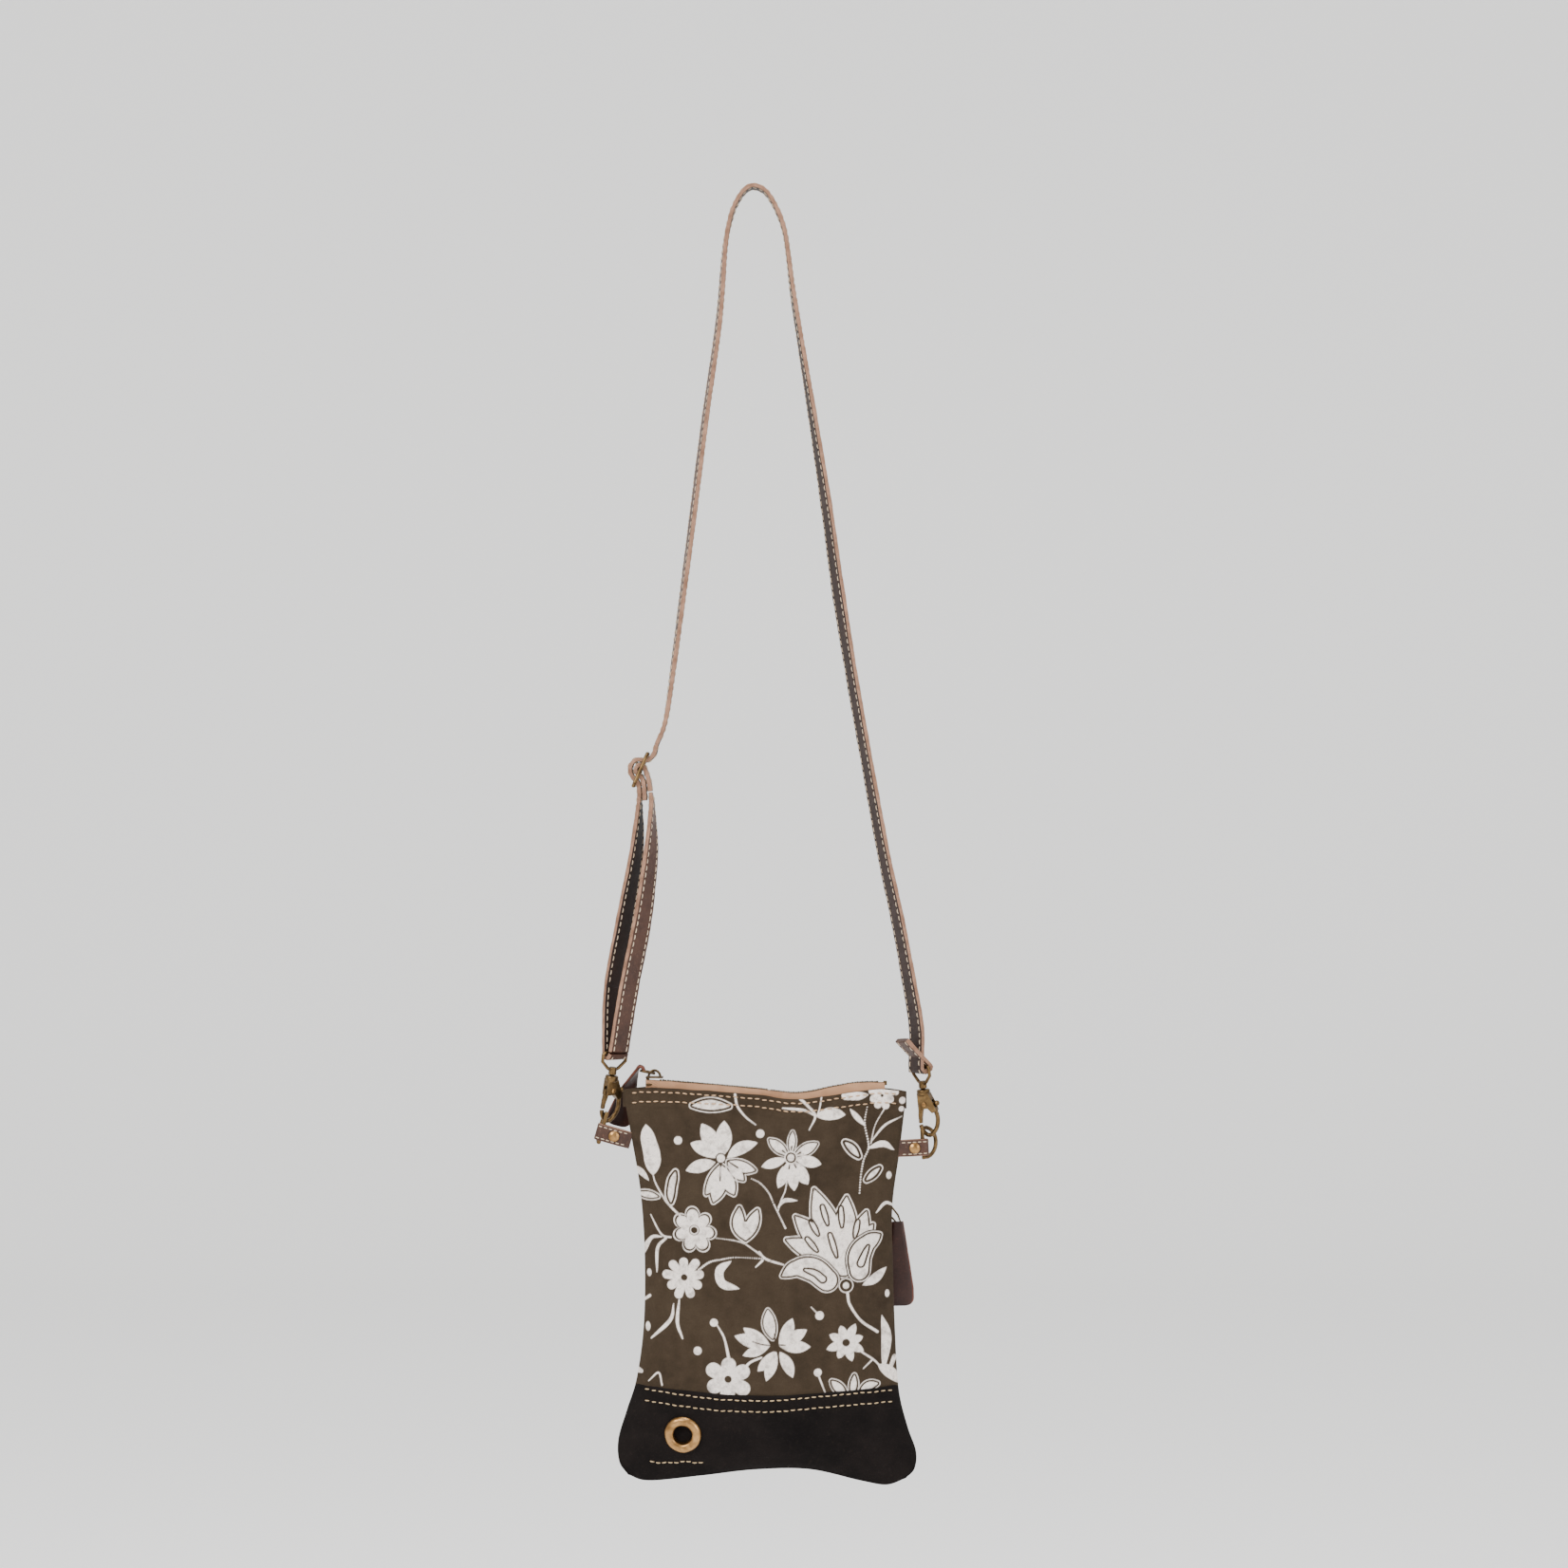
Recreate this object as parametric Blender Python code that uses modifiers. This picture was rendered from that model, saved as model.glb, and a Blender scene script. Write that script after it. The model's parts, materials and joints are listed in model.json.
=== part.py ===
"""A small crossbody purse hanging from its strap, in metres.

+Z is up, -Y is the front and +X the right side. The origin is the point at the top of the strap
where its inner face would rest on a hook or a shoulder.
"""

import math

import bmesh
import bpy
from mathutils import Matrix, Vector

MM = 0.001
GAP = 0.3 * MM

# ------------------------------------------------------------------ driving dimensions, bag shell
LEFT_SIDE = [(-75, -513), (-70, -540), (-65, -570), (-62.6, -605), (-63, -645), (-67, -676),
             (-72.5, -694), (-77.5, -711), (-77, -724), (-72, -731.5)]
RIGHT_SIDE = [(86.4, -514), (82.5, -547), (78.4, -578), (78.6, -610), (79.9, -650), (82, -683),
              (87, -704), (91.8, -718), (91, -728), (86, -733.5)]
HEM_EDGE = [(-75, -513), (-56, -511.5), (-3, -515), (24, -518), (50, -514.8), (72, -512.2), (86.4, -514)]
BOTTOM_EDGE = [(-72, -731.5), (-60, -734.8), (-30, -732), (0, -728.6), (31, -728.4), (60, -734.8),
               (75, -737.2), (86, -733.5)]
ZIP_LINE = [(-75, -507.6), (-56.7, -507.4), (-3, -511.8), (24, -514.6), (46, -510.8), (60, -508.7),
            (80, -508.7)]
BAND_TOP = [(-80, -678.5), (-20, -683.5), (10, -684.6), (40, -682.8), (95, -679.4)]
FRONT_BULGE = [(0, 0.0), (0.03, 5.0), (0.09, 12.0), (0.2, 17.5), (0.35, 20.0), (0.55, 18.5), (0.75, 14.0),
               (0.9, 9.0), (1.0, 6.2)]
REAR_BULGE = [(0, 0.0), (0.03, 4.5), (0.09, 10.0), (0.2, 13.5), (0.35, 15.0), (0.55, 14.6), (0.75, 13.0),
              (0.9, 9.0), (1.0, 6.2)]
SEAM_HALF_GAP = 1.1 * MM
CANVAS = 1.2 * MM
LINING = 0.4 * MM
BAND_GAP = 0.7 * MM
LINING_WIDTH = 0.93
LINING_DEPTH = 0.65

# ------------------------------------------------------------------ driving dimensions, fittings
GROMMET_X, GROMMET_Z = -40.6 * MM, -706.9 * MM
GROMMET_OUTER, GROMMET_HOLE = 10.3 * MM, 5.9 * MM
ZIP_LEFT, ZIP_RIGHT = -54.0 * MM, 72.0 * MM
TOOTH_PITCH, TOOTH_WIDTH = 2.8 * MM, 1.1 * MM
CHAIN_HALF_WIDTH, CHAIN_HALF_DEPTH = 2.6 * MM, 1.1 * MM
TAPE = 0.5 * MM
SLIDER_X, SLIDER_LENGTH = -57.0 * MM, 10.0 * MM
POCKET_Z, POCKET_LEFT, POCKET_RIGHT = -577 * MM, -44 * MM, 64 * MM
POCKET_SLOT_HALF = 4.6 * MM
POCKET_SLIDER_X = 60 * MM
TAB_WIDTH, TAB_THICK = 9.4 * MM, 1.4 * MM
RIVET_RADIUS = 3.3 * MM
RING_WIRE, RING_REACH, RING_HALF_HEIGHT = 1.25 * MM, 11.5 * MM, 8.6 * MM
STRAP_WIDTH, STRAP_THICK = 13.5 * MM, 2.6 * MM
STRAP_STEP = 13
HOOK_WIRE = 1.35 * MM
EYE_BAR = 41.3
LEFT_TAB = ((-73.2, 0, -540.7), (-87.3, 0, -536.7))
RIGHT_TAB = ((84.0, 0, -545.9), (96.0, 0, -545.2))
RIVET_AT = 7.0 * MM
LEFT_RING_YAW, RIGHT_RING_YAW = math.radians(98), math.radians(48)
LEFT_HOOK_YAW, RIGHT_HOOK_YAW = math.radians(36), math.radians(-25)
LEFT_EYE_YAW, RIGHT_EYE_YAW = math.radians(43), math.radians(-60)
LEFT_EYE, RIGHT_EYE = (-79.6, 1.0, -493.0), (94.2, 1.0, -497.0)
RING_CONTACT = (5.8, 7.75)
RING_LIFT = 2.5 * MM


# ------------------------------------------------------------------ helpers
def clear_scene():
    for obj in list(bpy.data.objects):
        bpy.data.objects.remove(obj, do_unlink=True)


def new_collection(name, hidden=False):
    made = bpy.data.collections.new(name)
    bpy.context.scene.collection.children.link(made)
    made.hide_render = hidden
    return made


clear_scene()
PURSE = new_collection("crossbody_purse")
CUTTERS = new_collection("cutters", hidden=True)


def material(name, colour, roughness, metallic=0.0):
    made = bpy.data.materials.new(name)
    made.use_nodes = True
    shader = made.node_tree.nodes["Principled BSDF"]
    shader.inputs["Base Color"].default_value = (*colour, 1.0)
    shader.inputs["Roughness"].default_value = roughness
    shader.inputs["Metallic"].default_value = metallic
    return made


CANVAS_OLIVE = material("olive_canvas", (0.10, 0.08, 0.06), 0.9)
BLACK_LEATHER = material("black_leather", (0.02, 0.019, 0.02), 0.7)
BROWN_LEATHER = material("brown_leather", (0.10, 0.045, 0.03), 0.55)
STRAP_LEATHER = material("strap_leather", (0.22, 0.12, 0.09), 0.6)
TAPE_TAN = material("zip_tape", (0.45, 0.28, 0.18), 0.85)
ANTIQUE_BRASS = material("antique_brass", (0.33, 0.22, 0.11), 0.4, 1.0)
COTTON = material("lining_cotton", (0.55, 0.48, 0.38), 0.9)


def smooth(points, t):
    """A point on the Catmull-Rom curve through the points, at t from 0 to 1 by chord length."""
    nodes = [Vector(p) for p in points]
    lengths = [0.0]
    for a, b in zip(nodes, nodes[1:]):
        lengths.append(lengths[-1] + (b - a).length)
    at = min(max(t, 0.0), 1.0) * lengths[-1]
    k = 0
    while k < len(nodes) - 2 and at > lengths[k + 1]:
        k += 1
    w = (at - lengths[k]) / (lengths[k + 1] - lengths[k])
    p1, p2 = nodes[k], nodes[k + 1]
    p0 = nodes[k - 1] if k else 2 * p1 - p2
    p3 = nodes[k + 2] if k + 2 < len(nodes) else 2 * p2 - p1
    square = (2 * p0 - 5 * p1 + 4 * p2 - p3) * w**2
    cube = (3 * p1 - p0 - 3 * p2 + p3) * w**3
    return 0.5 * (2 * p1 + (p2 - p0) * w + square + cube)


def height(points, x):
    """The second coordinate of a table of points at the first coordinate x, eased between them."""
    for (x0, y0), (x1, y1) in zip(points, points[1:]):
        if x <= x1:
            w = min(max((x - x0) / (x1 - x0), 0.0), 1.0)
            return y0 + (y1 - y0) * w
    return points[-1][1]


def smooth_height(points, x):
    """The height of a smooth curve through points with rising first coordinates."""
    low, high = 0.0, 1.0
    for _ in range(24):
        middle = (low + high) / 2
        if smooth(points, middle)[0] < x:
            low = middle
        else:
            high = middle
    return smooth(points, low)[1]


def add(name, data, paint, collection=PURSE):
    made = bpy.data.objects.new(name, data)
    data.materials.append(paint)
    collection.objects.link(made)
    return made


def mesh_object(name, bm, paint, collection=PURSE):
    mesh = bpy.data.meshes.new(name)
    bm.to_mesh(mesh)
    bm.free()
    made = add(name, mesh, paint, collection)
    mesh.shade_smooth()
    mesh.set_sharp_from_angle(angle=math.radians(35))
    return made


def sheet(name, place, across, along, thickness, paint):
    """A grid laid on the surface place(u, v), thickened to both sides."""
    bm = bmesh.new()
    bmesh.ops.create_grid(bm, x_segments=across, y_segments=along, size=0.5)
    for vert in bm.verts:
        vert.co = place(vert.co.x + 0.5, vert.co.y + 0.5)
    made = mesh_object(name, bm, paint)
    solid = made.modifiers.new("thickness", "SOLIDIFY")
    solid.thickness = thickness
    solid.offset = 0.0
    return made


def ribbon(name, path, sides, width, thickness, paint, steps):
    """A strip that follows path(t), with its width along sides(t) and width(t) wide."""

    def place(u, v):
        return path(v) + sides(v) * (width(v) * (u - 0.5))

    return sheet(name, place, 1, steps, thickness, paint)


def tube(name, points, radius, paint, cyclic=False):
    """A round wire through the points, closed into a loop where cyclic is set."""
    data = bpy.data.curves.new(name, "CURVE")
    data.dimensions = "3D"
    data.bevel_depth = radius
    data.bevel_resolution = 2
    data.use_fill_caps = not cyclic
    spline = data.splines.new("POLY")
    spline.points.add(len(points) - 1)
    for target, point in zip(spline.points, points):
        target.co = (*point, 1.0)
    spline.use_cyclic_u = cyclic
    return add(name, data, paint)


def plate(name, outline, thickness, paint):
    """A flat outline in the XY plane, half its thickness to each side."""
    data = bpy.data.curves.new(name, "CURVE")
    data.dimensions = "2D"
    data.fill_mode = "BOTH"
    data.extrude = thickness / 2
    spline = data.splines.new("POLY")
    spline.points.add(len(outline) - 1)
    for target, (x, y) in zip(spline.points, outline):
        target.co = (x, y, 0.0, 1.0)
    spline.use_cyclic_u = True
    return add(name, data, paint)


def turned(name, profile, paint, steps=20):
    """A profile of (radius, height) points, top to bottom on its outer side, turned about Z."""
    bm = bmesh.new()
    verts = [bm.verts.new((r, 0.0, z)) for r, z in profile]
    for a, b in zip(verts, verts[1:]):
        bm.edges.new((a, b))
    made = mesh_object(name, bm, paint)
    screw = made.modifiers.new("turn", "SCREW")
    screw.steps = steps
    screw.render_steps = steps
    screw.use_merge_vertices = True
    screw.merge_threshold = 0.00001
    return made


def block(name, low, high, paint, collection=PURSE):
    bm = bmesh.new()
    bmesh.ops.create_cube(bm, size=1.0)
    low, high = Vector(low), Vector(high)
    size = high - low
    for vert in bm.verts:
        vert.co = low + Vector(size[k] * (vert.co[k] + 0.5) for k in range(3))
    return mesh_object(name, bm, paint, collection)


def as_mesh(obj):
    """The same piece as a plain mesh, with its placement and modifiers applied and its caps welded."""
    bpy.context.view_layer.update()
    name, place = obj.name, obj.matrix_world.copy()
    graph = bpy.context.evaluated_depsgraph_get()
    mesh = bpy.data.meshes.new_from_object(obj.evaluated_get(graph))
    bm = bmesh.new()
    bm.from_mesh(mesh)
    bmesh.ops.remove_doubles(bm, verts=bm.verts, dist=0.001 * MM)
    bmesh.ops.recalc_face_normals(bm, faces=bm.faces)
    bm.transform(place)
    bm.to_mesh(mesh)
    bm.free()
    home = obj.users_collection[0]
    bpy.data.objects.remove(obj, do_unlink=True)
    made = bpy.data.objects.new(name, mesh)
    home.objects.link(made)
    return made


def combine(target, tool, operation):
    """Cuts the tool from the target or joins it on, and puts the tool away with the cutters."""
    step = target.modifiers.new(f"{operation.lower()} {tool.name}", "BOOLEAN")
    step.operation = operation
    step.object = tool
    for home in list(tool.users_collection):
        home.objects.unlink(tool)
    CUTTERS.objects.link(tool)
    tool.hide_render = True
    tool.display_type = "WIRE"
    return target


def frame(name, place):
    """An empty that its pieces hang from, on the axis they move about."""
    made = bpy.data.objects.new(name, None)
    made.matrix_world = place
    made.empty_display_size = 5 * MM
    PURSE.objects.link(made)
    return made


def put_on(parent, *pieces):
    bpy.context.view_layer.update()
    for piece in pieces:
        piece.parent = parent


def axes(origin, x_axis, z_axis):
    """A placement with the given Z axis and its X axis as near as can be to the one given."""
    z_axis = Vector(z_axis).normalized()
    y_axis = z_axis.cross(Vector(x_axis)).normalized()
    x_axis = y_axis.cross(z_axis)
    turn = Matrix((x_axis, y_axis, z_axis)).transposed().to_4x4()
    return Matrix.Translation(Vector(origin)) @ turn


# ------------------------------------------------------------------ the bag's shell
def outline(u, v):
    """X and Z on the bag's face: u across from left to right, v up from the base to the hem."""
    left, right = smooth(LEFT_SIDE, 1 - v), smooth(RIGHT_SIDE, 1 - v)
    low, high = smooth(BOTTOM_EDGE, u), smooth(HEM_EDGE, u)
    sides = left * (1 - u) + right * u
    ends = low * (1 - v) + high * v
    corners = (Vector(LEFT_SIDE[-1]) * (1 - u) + Vector(RIGHT_SIDE[-1]) * u) * (1 - v)
    corners += (Vector(LEFT_SIDE[0]) * (1 - u) + Vector(RIGHT_SIDE[0]) * u) * v
    return (sides + ends - corners) * MM


def bulge(table, u, v):
    """How far the shell stands from the middle plane: a pillow that flattens into a slot at the mouth."""
    ease = min(max((v - 0.78) / 0.22, 0.0), 1.0)
    power = (2.3 if table is FRONT_BULGE else 3.6) + 9 * ease * ease
    depth = smooth_height(table, v) * MM
    across = min(abs(2 * u - 1), 1.0)
    return SEAM_HALF_GAP + max(depth - SEAM_HALF_GAP, 0.0) * (1 - across**power) ** 0.72


def shell(table, side, u, v, width=1.0, depth=1.0):
    """A point on the shell. side is -1 in front and +1 behind."""
    point = outline(0.5 + (u - 0.5) * width, v)
    return Vector((point.x, side * bulge(table, u, v) * depth, point.y))


def v_at(u, z):
    low, high = 0.0, 1.0
    for _ in range(20):
        middle = (low + high) / 2
        if outline(u, middle).y < z:
            low = middle
        else:
            high = middle
    return low


def band_top(u):
    """The v of the base band's upper edge."""
    x = outline(u, 0.24).x / MM
    return v_at(u, height(BAND_TOP, x) * MM)


def make_shell(word, table, side):
    """The canvas panel, base band and lining of one side of the bag."""
    def canvas(u, v):
        low = v_at(u, height(BAND_TOP, outline(u, 0.24).x / MM) * MM + BAND_GAP)
        return shell(table, side, u, low + (1 - low) * v)

    def band(u, v):
        return shell(table, side, u, band_top(u) * v)

    def lining(u, v):
        return shell(table, side, u, 0.09 + 0.87 * v, LINING_WIDTH, LINING_DEPTH)

    sheet(f"{word}_lining", lining, 12, 9, LINING, COTTON)
    return (sheet(f"{word}_canvas_panel", canvas, 20, 14, CANVAS, CANVAS_OLIVE),
            sheet(f"{word}_base_band", band, 20, 6, CANVAS, BLACK_LEATHER))


def place_on_front(x, z):
    """The Y of the front band's outer face at a point."""
    u = (x - outline(0, 0.12).x) / (outline(1, 0.12).x - outline(0, 0.12).x)
    return -bulge(FRONT_BULGE, u, v_at(u, z))


def make_grommet(band):
    y = place_on_front(GROMMET_X, GROMMET_Z)
    reach = 8 * MM
    above = place_on_front(GROMMET_X, GROMMET_Z + reach)
    below = place_on_front(GROMMET_X, GROMMET_Z - reach)
    slope = (above - below) / (2 * reach)
    outward = Vector((-0.12, -1.0, slope)).normalized()
    place = axes((GROMMET_X, y, GROMMET_Z), (1, 0, 0), outward)
    tool = turned("grommet_cutter", [(0, 8 * MM), (GROMMET_HOLE + 1.6 * MM, 8 * MM),
                                     (GROMMET_HOLE + 1.6 * MM, -8 * MM), (0, -8 * MM)], ANTIQUE_BRASS)
    tool.matrix_world = place
    combine(band, tool, "DIFFERENCE")
    hole, outer, top = GROMMET_HOLE, GROMMET_OUTER, 2.5 * MM
    ring = turned("grommet", [(hole, 1.5 * MM), (hole + 1.4 * MM, top), (outer - 2 * MM, top), (outer, 1.3 * MM),
                              (hole + 1.2 * MM, 1.3 * MM), (hole + 1.2 * MM, -1.7 * MM), (hole, -1.7 * MM),
                              (hole, 1.5 * MM)], ANTIQUE_BRASS, 28)
    back = turned("grommet_washer", [(hole + 1.5 * MM, -1.8 * MM), (outer - 1 * MM, -1.8 * MM),
                                     (outer - 1 * MM, -2.5 * MM), (hole + 1.5 * MM, -2.5 * MM),
                                     (hole + 1.5 * MM, -1.8 * MM)], ANTIQUE_BRASS, 20)
    ring.matrix_world = place
    back.matrix_world = place


# ------------------------------------------------------------------ zips
def comb(name, first, last, side, height_at, paint):
    """One half of a chain: a spine with teeth across the middle line, as one outline, then bent to height_at."""
    spine, reach = CHAIN_HALF_WIDTH, 1.0 * MM
    root = CHAIN_HALF_WIDTH - 1.0 * MM
    outline_points = [(first, -spine)]
    start = first + (0.0 if side < 0 else TOOTH_PITCH / 2) + 0.4 * MM
    count = int((last - start - TOOTH_WIDTH) / TOOTH_PITCH)
    bay = TOOTH_PITCH * 4
    lower = [(first + k * bay, -spine) for k in range(1, int((last - first) / bay) + 1)]
    outline_points += lower + [(last, -spine), (last, -root)]
    for k in reversed(range(count)):
        x = start + k * TOOTH_PITCH
        outline_points += [(x + TOOTH_WIDTH, -root), (x + TOOTH_WIDTH, reach), (x, reach), (x, -root)]
    outline_points.append((first, -root))
    made = as_mesh(plate(name, outline_points, 2 * CHAIN_HALF_DEPTH, paint))
    for vert in made.data.vertices:
        vert.co.z += height_at(vert.co.x)
    if side > 0:
        for vert in made.data.vertices:
            vert.co.y = -vert.co.y
        made.data.flip_normals()
    return made


def zip_height(x):
    return smooth_height(ZIP_LINE, x / MM) * MM


def make_main_zip():
    profile = [(-CHAIN_HALF_WIDTH / MM - 0.3, 0.0), (-4.0, 0.0), (-4.4, -0.7), (-4.55, -2.5), (-4.6, -7.5)]
    for word, side in (("front", -1), ("rear", 1)):

        def tape(u, v, side=side):
            x = ZIP_LEFT - 8 * MM + (ZIP_RIGHT - ZIP_LEFT + 10 * MM) * u
            across, up = smooth(profile, v)
            return Vector((x, -side * across * MM, zip_height(x) + up * MM))

        sheet(f"{word}_zip_tape", tape, 16, 5, TAPE, TAPE_TAN)
        comb(f"{word}_zip_teeth", ZIP_LEFT, ZIP_RIGHT, side, zip_height, ANTIQUE_BRASS)
    x = ZIP_RIGHT + 1.2 * MM
    z = zip_height(x)
    block("zip_end_stop", (x, -2.4 * MM, z - 1.2 * MM), (x + 2 * MM, 2.4 * MM, z + 1.2 * MM), ANTIQUE_BRASS)
    top = frame("main_zip_slider_frame", Matrix.Translation((SLIDER_X, 0, zip_height(SLIDER_X))))
    half = SLIDER_LENGTH / 2
    body = make_slider("main_zip_slider", half)
    body.parent = top
    pivot = frame("main_pull_frame", Matrix.Translation((SLIDER_X, 0, zip_height(SLIDER_X) + 4.2 * MM)))
    pull = tube("main_zip_pull_ring", [(0, -2.7 * MM, 0), (0, 2.7 * MM, 0), (-1.4 * MM, 3.6 * MM, 0.3 * MM),
                                       (-6.6 * MM, 3.6 * MM, 1.3 * MM), (-7.8 * MM, 2.6 * MM, 1.5 * MM),
                                       (-7.8 * MM, -2.6 * MM, 1.5 * MM), (-6.6 * MM, -3.6 * MM, 1.3 * MM),
                                       (-1.4 * MM, -3.6 * MM, 0.3 * MM)], 0.7 * MM, ANTIQUE_BRASS, cyclic=True)
    put_on(pivot, pull)


def make_slider(name, half):
    """Two plates joined by a wedge, with a bridge over the outer one. The chain runs along X between them."""
    body = block(name, (-half, -3.9 * MM, 1.55 * MM), (half, 3.9 * MM, 2.5 * MM), ANTIQUE_BRASS)
    lower = block(f"{name}_lower", (-half, -3.3 * MM, -2.45 * MM), (half, 3.3 * MM, -1.55 * MM), ANTIQUE_BRASS)
    wedge = block(f"{name}_wedge", (-half + 0.3 * MM, -1.0 * MM, -1.8 * MM),
                  (-half + 2.1 * MM, 1.0 * MM, 1.8 * MM), ANTIQUE_BRASS)
    arch = [(3.4 * MM * math.cos(a), 0, 1.9 * MM + 4.0 * MM * math.sin(a)) for a in
            [math.pi * k / 10 for k in range(11)]]
    bridge = as_mesh(tube(f"{name}_bridge", arch, 0.75 * MM, ANTIQUE_BRASS))
    for tool in (lower, wedge, bridge):
        tool.parent = body
        combine(body, tool, "UNION")
    return body


def make_puller():
    """The leather tag of the main zip. It wraps the ring's end bar and lies over the rear hem."""
    bar = Vector((SLIDER_X - 7.8 * MM, 0, zip_height(SLIDER_X) + 5.7 * MM))
    route = [(2.1, 0, -0.6), (1.2, 0, 1.9), (-0.9, 0.6, 2.3), (-3.0, 4.5, -0.8), (-5.4, 9.0, -6.5),
             (-8.0, 12.6, -13.0), (-11.0, 14.2, -22.0), (-14.0, 14.8, -32.5)]

    def path(t):
        return Vector(smooth(route, t)) * MM

    def sides(t):
        turn = min(max((t - 0.15) / 0.4, 0.0), 1.0)
        return Vector((math.sin(turn * 1.3), math.cos(turn * 1.3), -0.35 * math.sin(turn * 1.3))).normalized()

    def width(t):
        return (3.6 + 11.4 * min(max((t - 0.12) / 0.75, 0.0), 1.0)) * MM

    pivot = frame("main_puller_frame", Matrix.Translation(bar))
    put_on(pivot, ribbon("main_leather_puller", path, sides, width, 1.8 * MM, BROWN_LEATHER, 16))


def make_pocket_zip(panel):
    """The zip across the rear panel: its slot, two tapes, two rows of teeth, slider, wire loop and tag."""
    y = bulge(REAR_BULGE, 0.5, v_at(0.5, POCKET_Z))
    tool = block("pocket_slot_cutter", (POCKET_LEFT - 6 * MM, y - 8 * MM, POCKET_Z - POCKET_SLOT_HALF),
                 (POCKET_RIGHT + 6 * MM, y + 8 * MM, POCKET_Z + POCKET_SLOT_HALF), CANVAS_OLIVE)
    combine(panel, tool, "DIFFERENCE")
    face = y - 1.6 * MM
    for word, side in (("upper", 1), ("lower", -1)):
        outer = side * (CHAIN_HALF_WIDTH + 0.3 * MM)
        edges = sorted((outer, side * (POCKET_SLOT_HALF - 0.4 * MM)))
        block(f"pocket_{word}_tape", (POCKET_LEFT - 4 * MM, face - TAPE / 2, POCKET_Z + edges[0]),
              (POCKET_RIGHT + 4 * MM, face + TAPE / 2, POCKET_Z + edges[1]), TAPE_TAN)
        teeth = comb(f"pocket_{word}_teeth", POCKET_LEFT, POCKET_SLIDER_X + 3 * MM, -side, lambda x: 0.0,
                     ANTIQUE_BRASS)
        teeth.matrix_world = axes((0, face, POCKET_Z), (1, 0, 0), (0, 1, 0))
    slider = make_slider("pocket_zip_slider", SLIDER_LENGTH / 2)
    home = frame("pocket_slider_frame", axes((POCKET_SLIDER_X + 2 * MM, face, POCKET_Z), (-1, 0, 0), (0, 1, 0)))
    slider.parent = home
    pivot = Vector((POCKET_SLIDER_X + 2 * MM, face + 4.2 * MM, POCKET_Z))
    loop = tube("pocket_pull_wire", [Vector((a, b, c)) * MM for a, b, c in (
        (0, 0, 2.6), (0, 0, -2.6), (3.5, 1.5, -3.4), (11, 2.8, -6.0), (17.0, 3.2, -10.6), (19.6, 3.2, -13.6),
        (21.4, 3.2, -12.6), (20.0, 3.2, -8.6), (13, 2.8, 0.2), (4.5, 1.5, 3.4))], 0.6 * MM, ANTIQUE_BRASS,
                cyclic=True)
    put_on(frame("pocket_loop_frame", Matrix.Translation(pivot)), loop)
    loop.location = (0, 0, 0)
    tag_route = [(0.3, 0, -2.2), (0.5, -0.2, -8), (0.6, -0.4, -16), (0.9, -0.6, -30), (1.2, -0.6, -47)]

    def path(t):
        return Vector(smooth(tag_route, t)) * MM

    def width(t):
        return (6.5 + 10.5 * min(t / 0.8, 1.0)) * MM

    return pivot, path, width


# ------------------------------------------------------------------ side tabs and rings
def make_tab(word, side, root, slope, end, rivet_at, ring_yaw):
    """A folded strip from the side seam round the D-ring's bar, with its rivet. Returns the bar's place."""
    along = Vector((side * math.cos(slope), 0, math.sin(slope)))
    up = Vector((-side * math.sin(slope), 0, math.cos(slope)))
    reach = (end - root).length
    turn = RING_WIRE + TAB_THICK / 2 + 0.4 * MM

    def place(u, v):
        total = 2 * reach + math.pi * turn
        s = v * total
        if s < reach:
            along_at, y = s, -turn
        elif s < reach + math.pi * turn:
            a = (s - reach) / turn
            along_at, y = reach + turn * math.sin(a), -turn * math.cos(a)
        else:
            along_at, y = total - s, turn
        pinch = min(1.0, 0.45 + along_at / (7 * MM))
        return root + along * along_at + Vector((0, y * pinch, 0)) + up * (TAB_WIDTH * (u - 0.5))

    tab = sheet(f"{word}_side_tab", place, 2, 26, TAB_THICK, BROWN_LEATHER)
    hole = turned(f"{word}_rivet_cutter", [(0, 9 * MM), (1.5 * MM, 9 * MM), (1.5 * MM, -9 * MM), (0, -9 * MM)],
                  ANTIQUE_BRASS, 12)
    rivet = turned(f"{word}_tab_rivet", [(0, 5.0 * MM), (1.6 * MM, 4.8 * MM), (RIVET_RADIUS * 0.9, 4.1 * MM),
                                         (RIVET_RADIUS, 3.4 * MM), (1.2 * MM, 3.4 * MM), (1.2 * MM, -3.4 * MM),
                                         (RIVET_RADIUS * 0.9, -3.4 * MM), (RIVET_RADIUS * 0.8, -4.2 * MM),
                                         (0, -4.4 * MM)], ANTIQUE_BRASS, 20)
    spot = axes(root + along * rivet_at, (1, 0, 0), (0, -1, 0))
    hole.matrix_world = spot
    rivet.matrix_world = spot
    combine(tab, hole, "DIFFERENCE")
    bar = root + along * (reach - 0.2 * MM) + up * RING_LIFT
    low, high = -RING_HALF_HEIGHT, RING_HALF_HEIGHT
    arc = [(0, low), (0, 0), (0, high)]
    steps = 14
    flat = 1.5 * MM
    turns = [math.pi * k / steps for k in range(1, steps)]
    arc += [(flat + (RING_REACH - flat) * math.sin(a), high * math.cos(a)) for a in turns]
    ring = tube(f"{word}_d_ring", [(x, 0, z) for x, z in arc], RING_WIRE, ANTIQUE_BRASS, cyclic=True)
    heading = Vector((math.cos(ring_yaw), math.sin(ring_yaw), 0))
    put = frame(f"{word}_ring_frame", axes(bar, heading, up))
    ring.parent = put
    return bar


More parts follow.
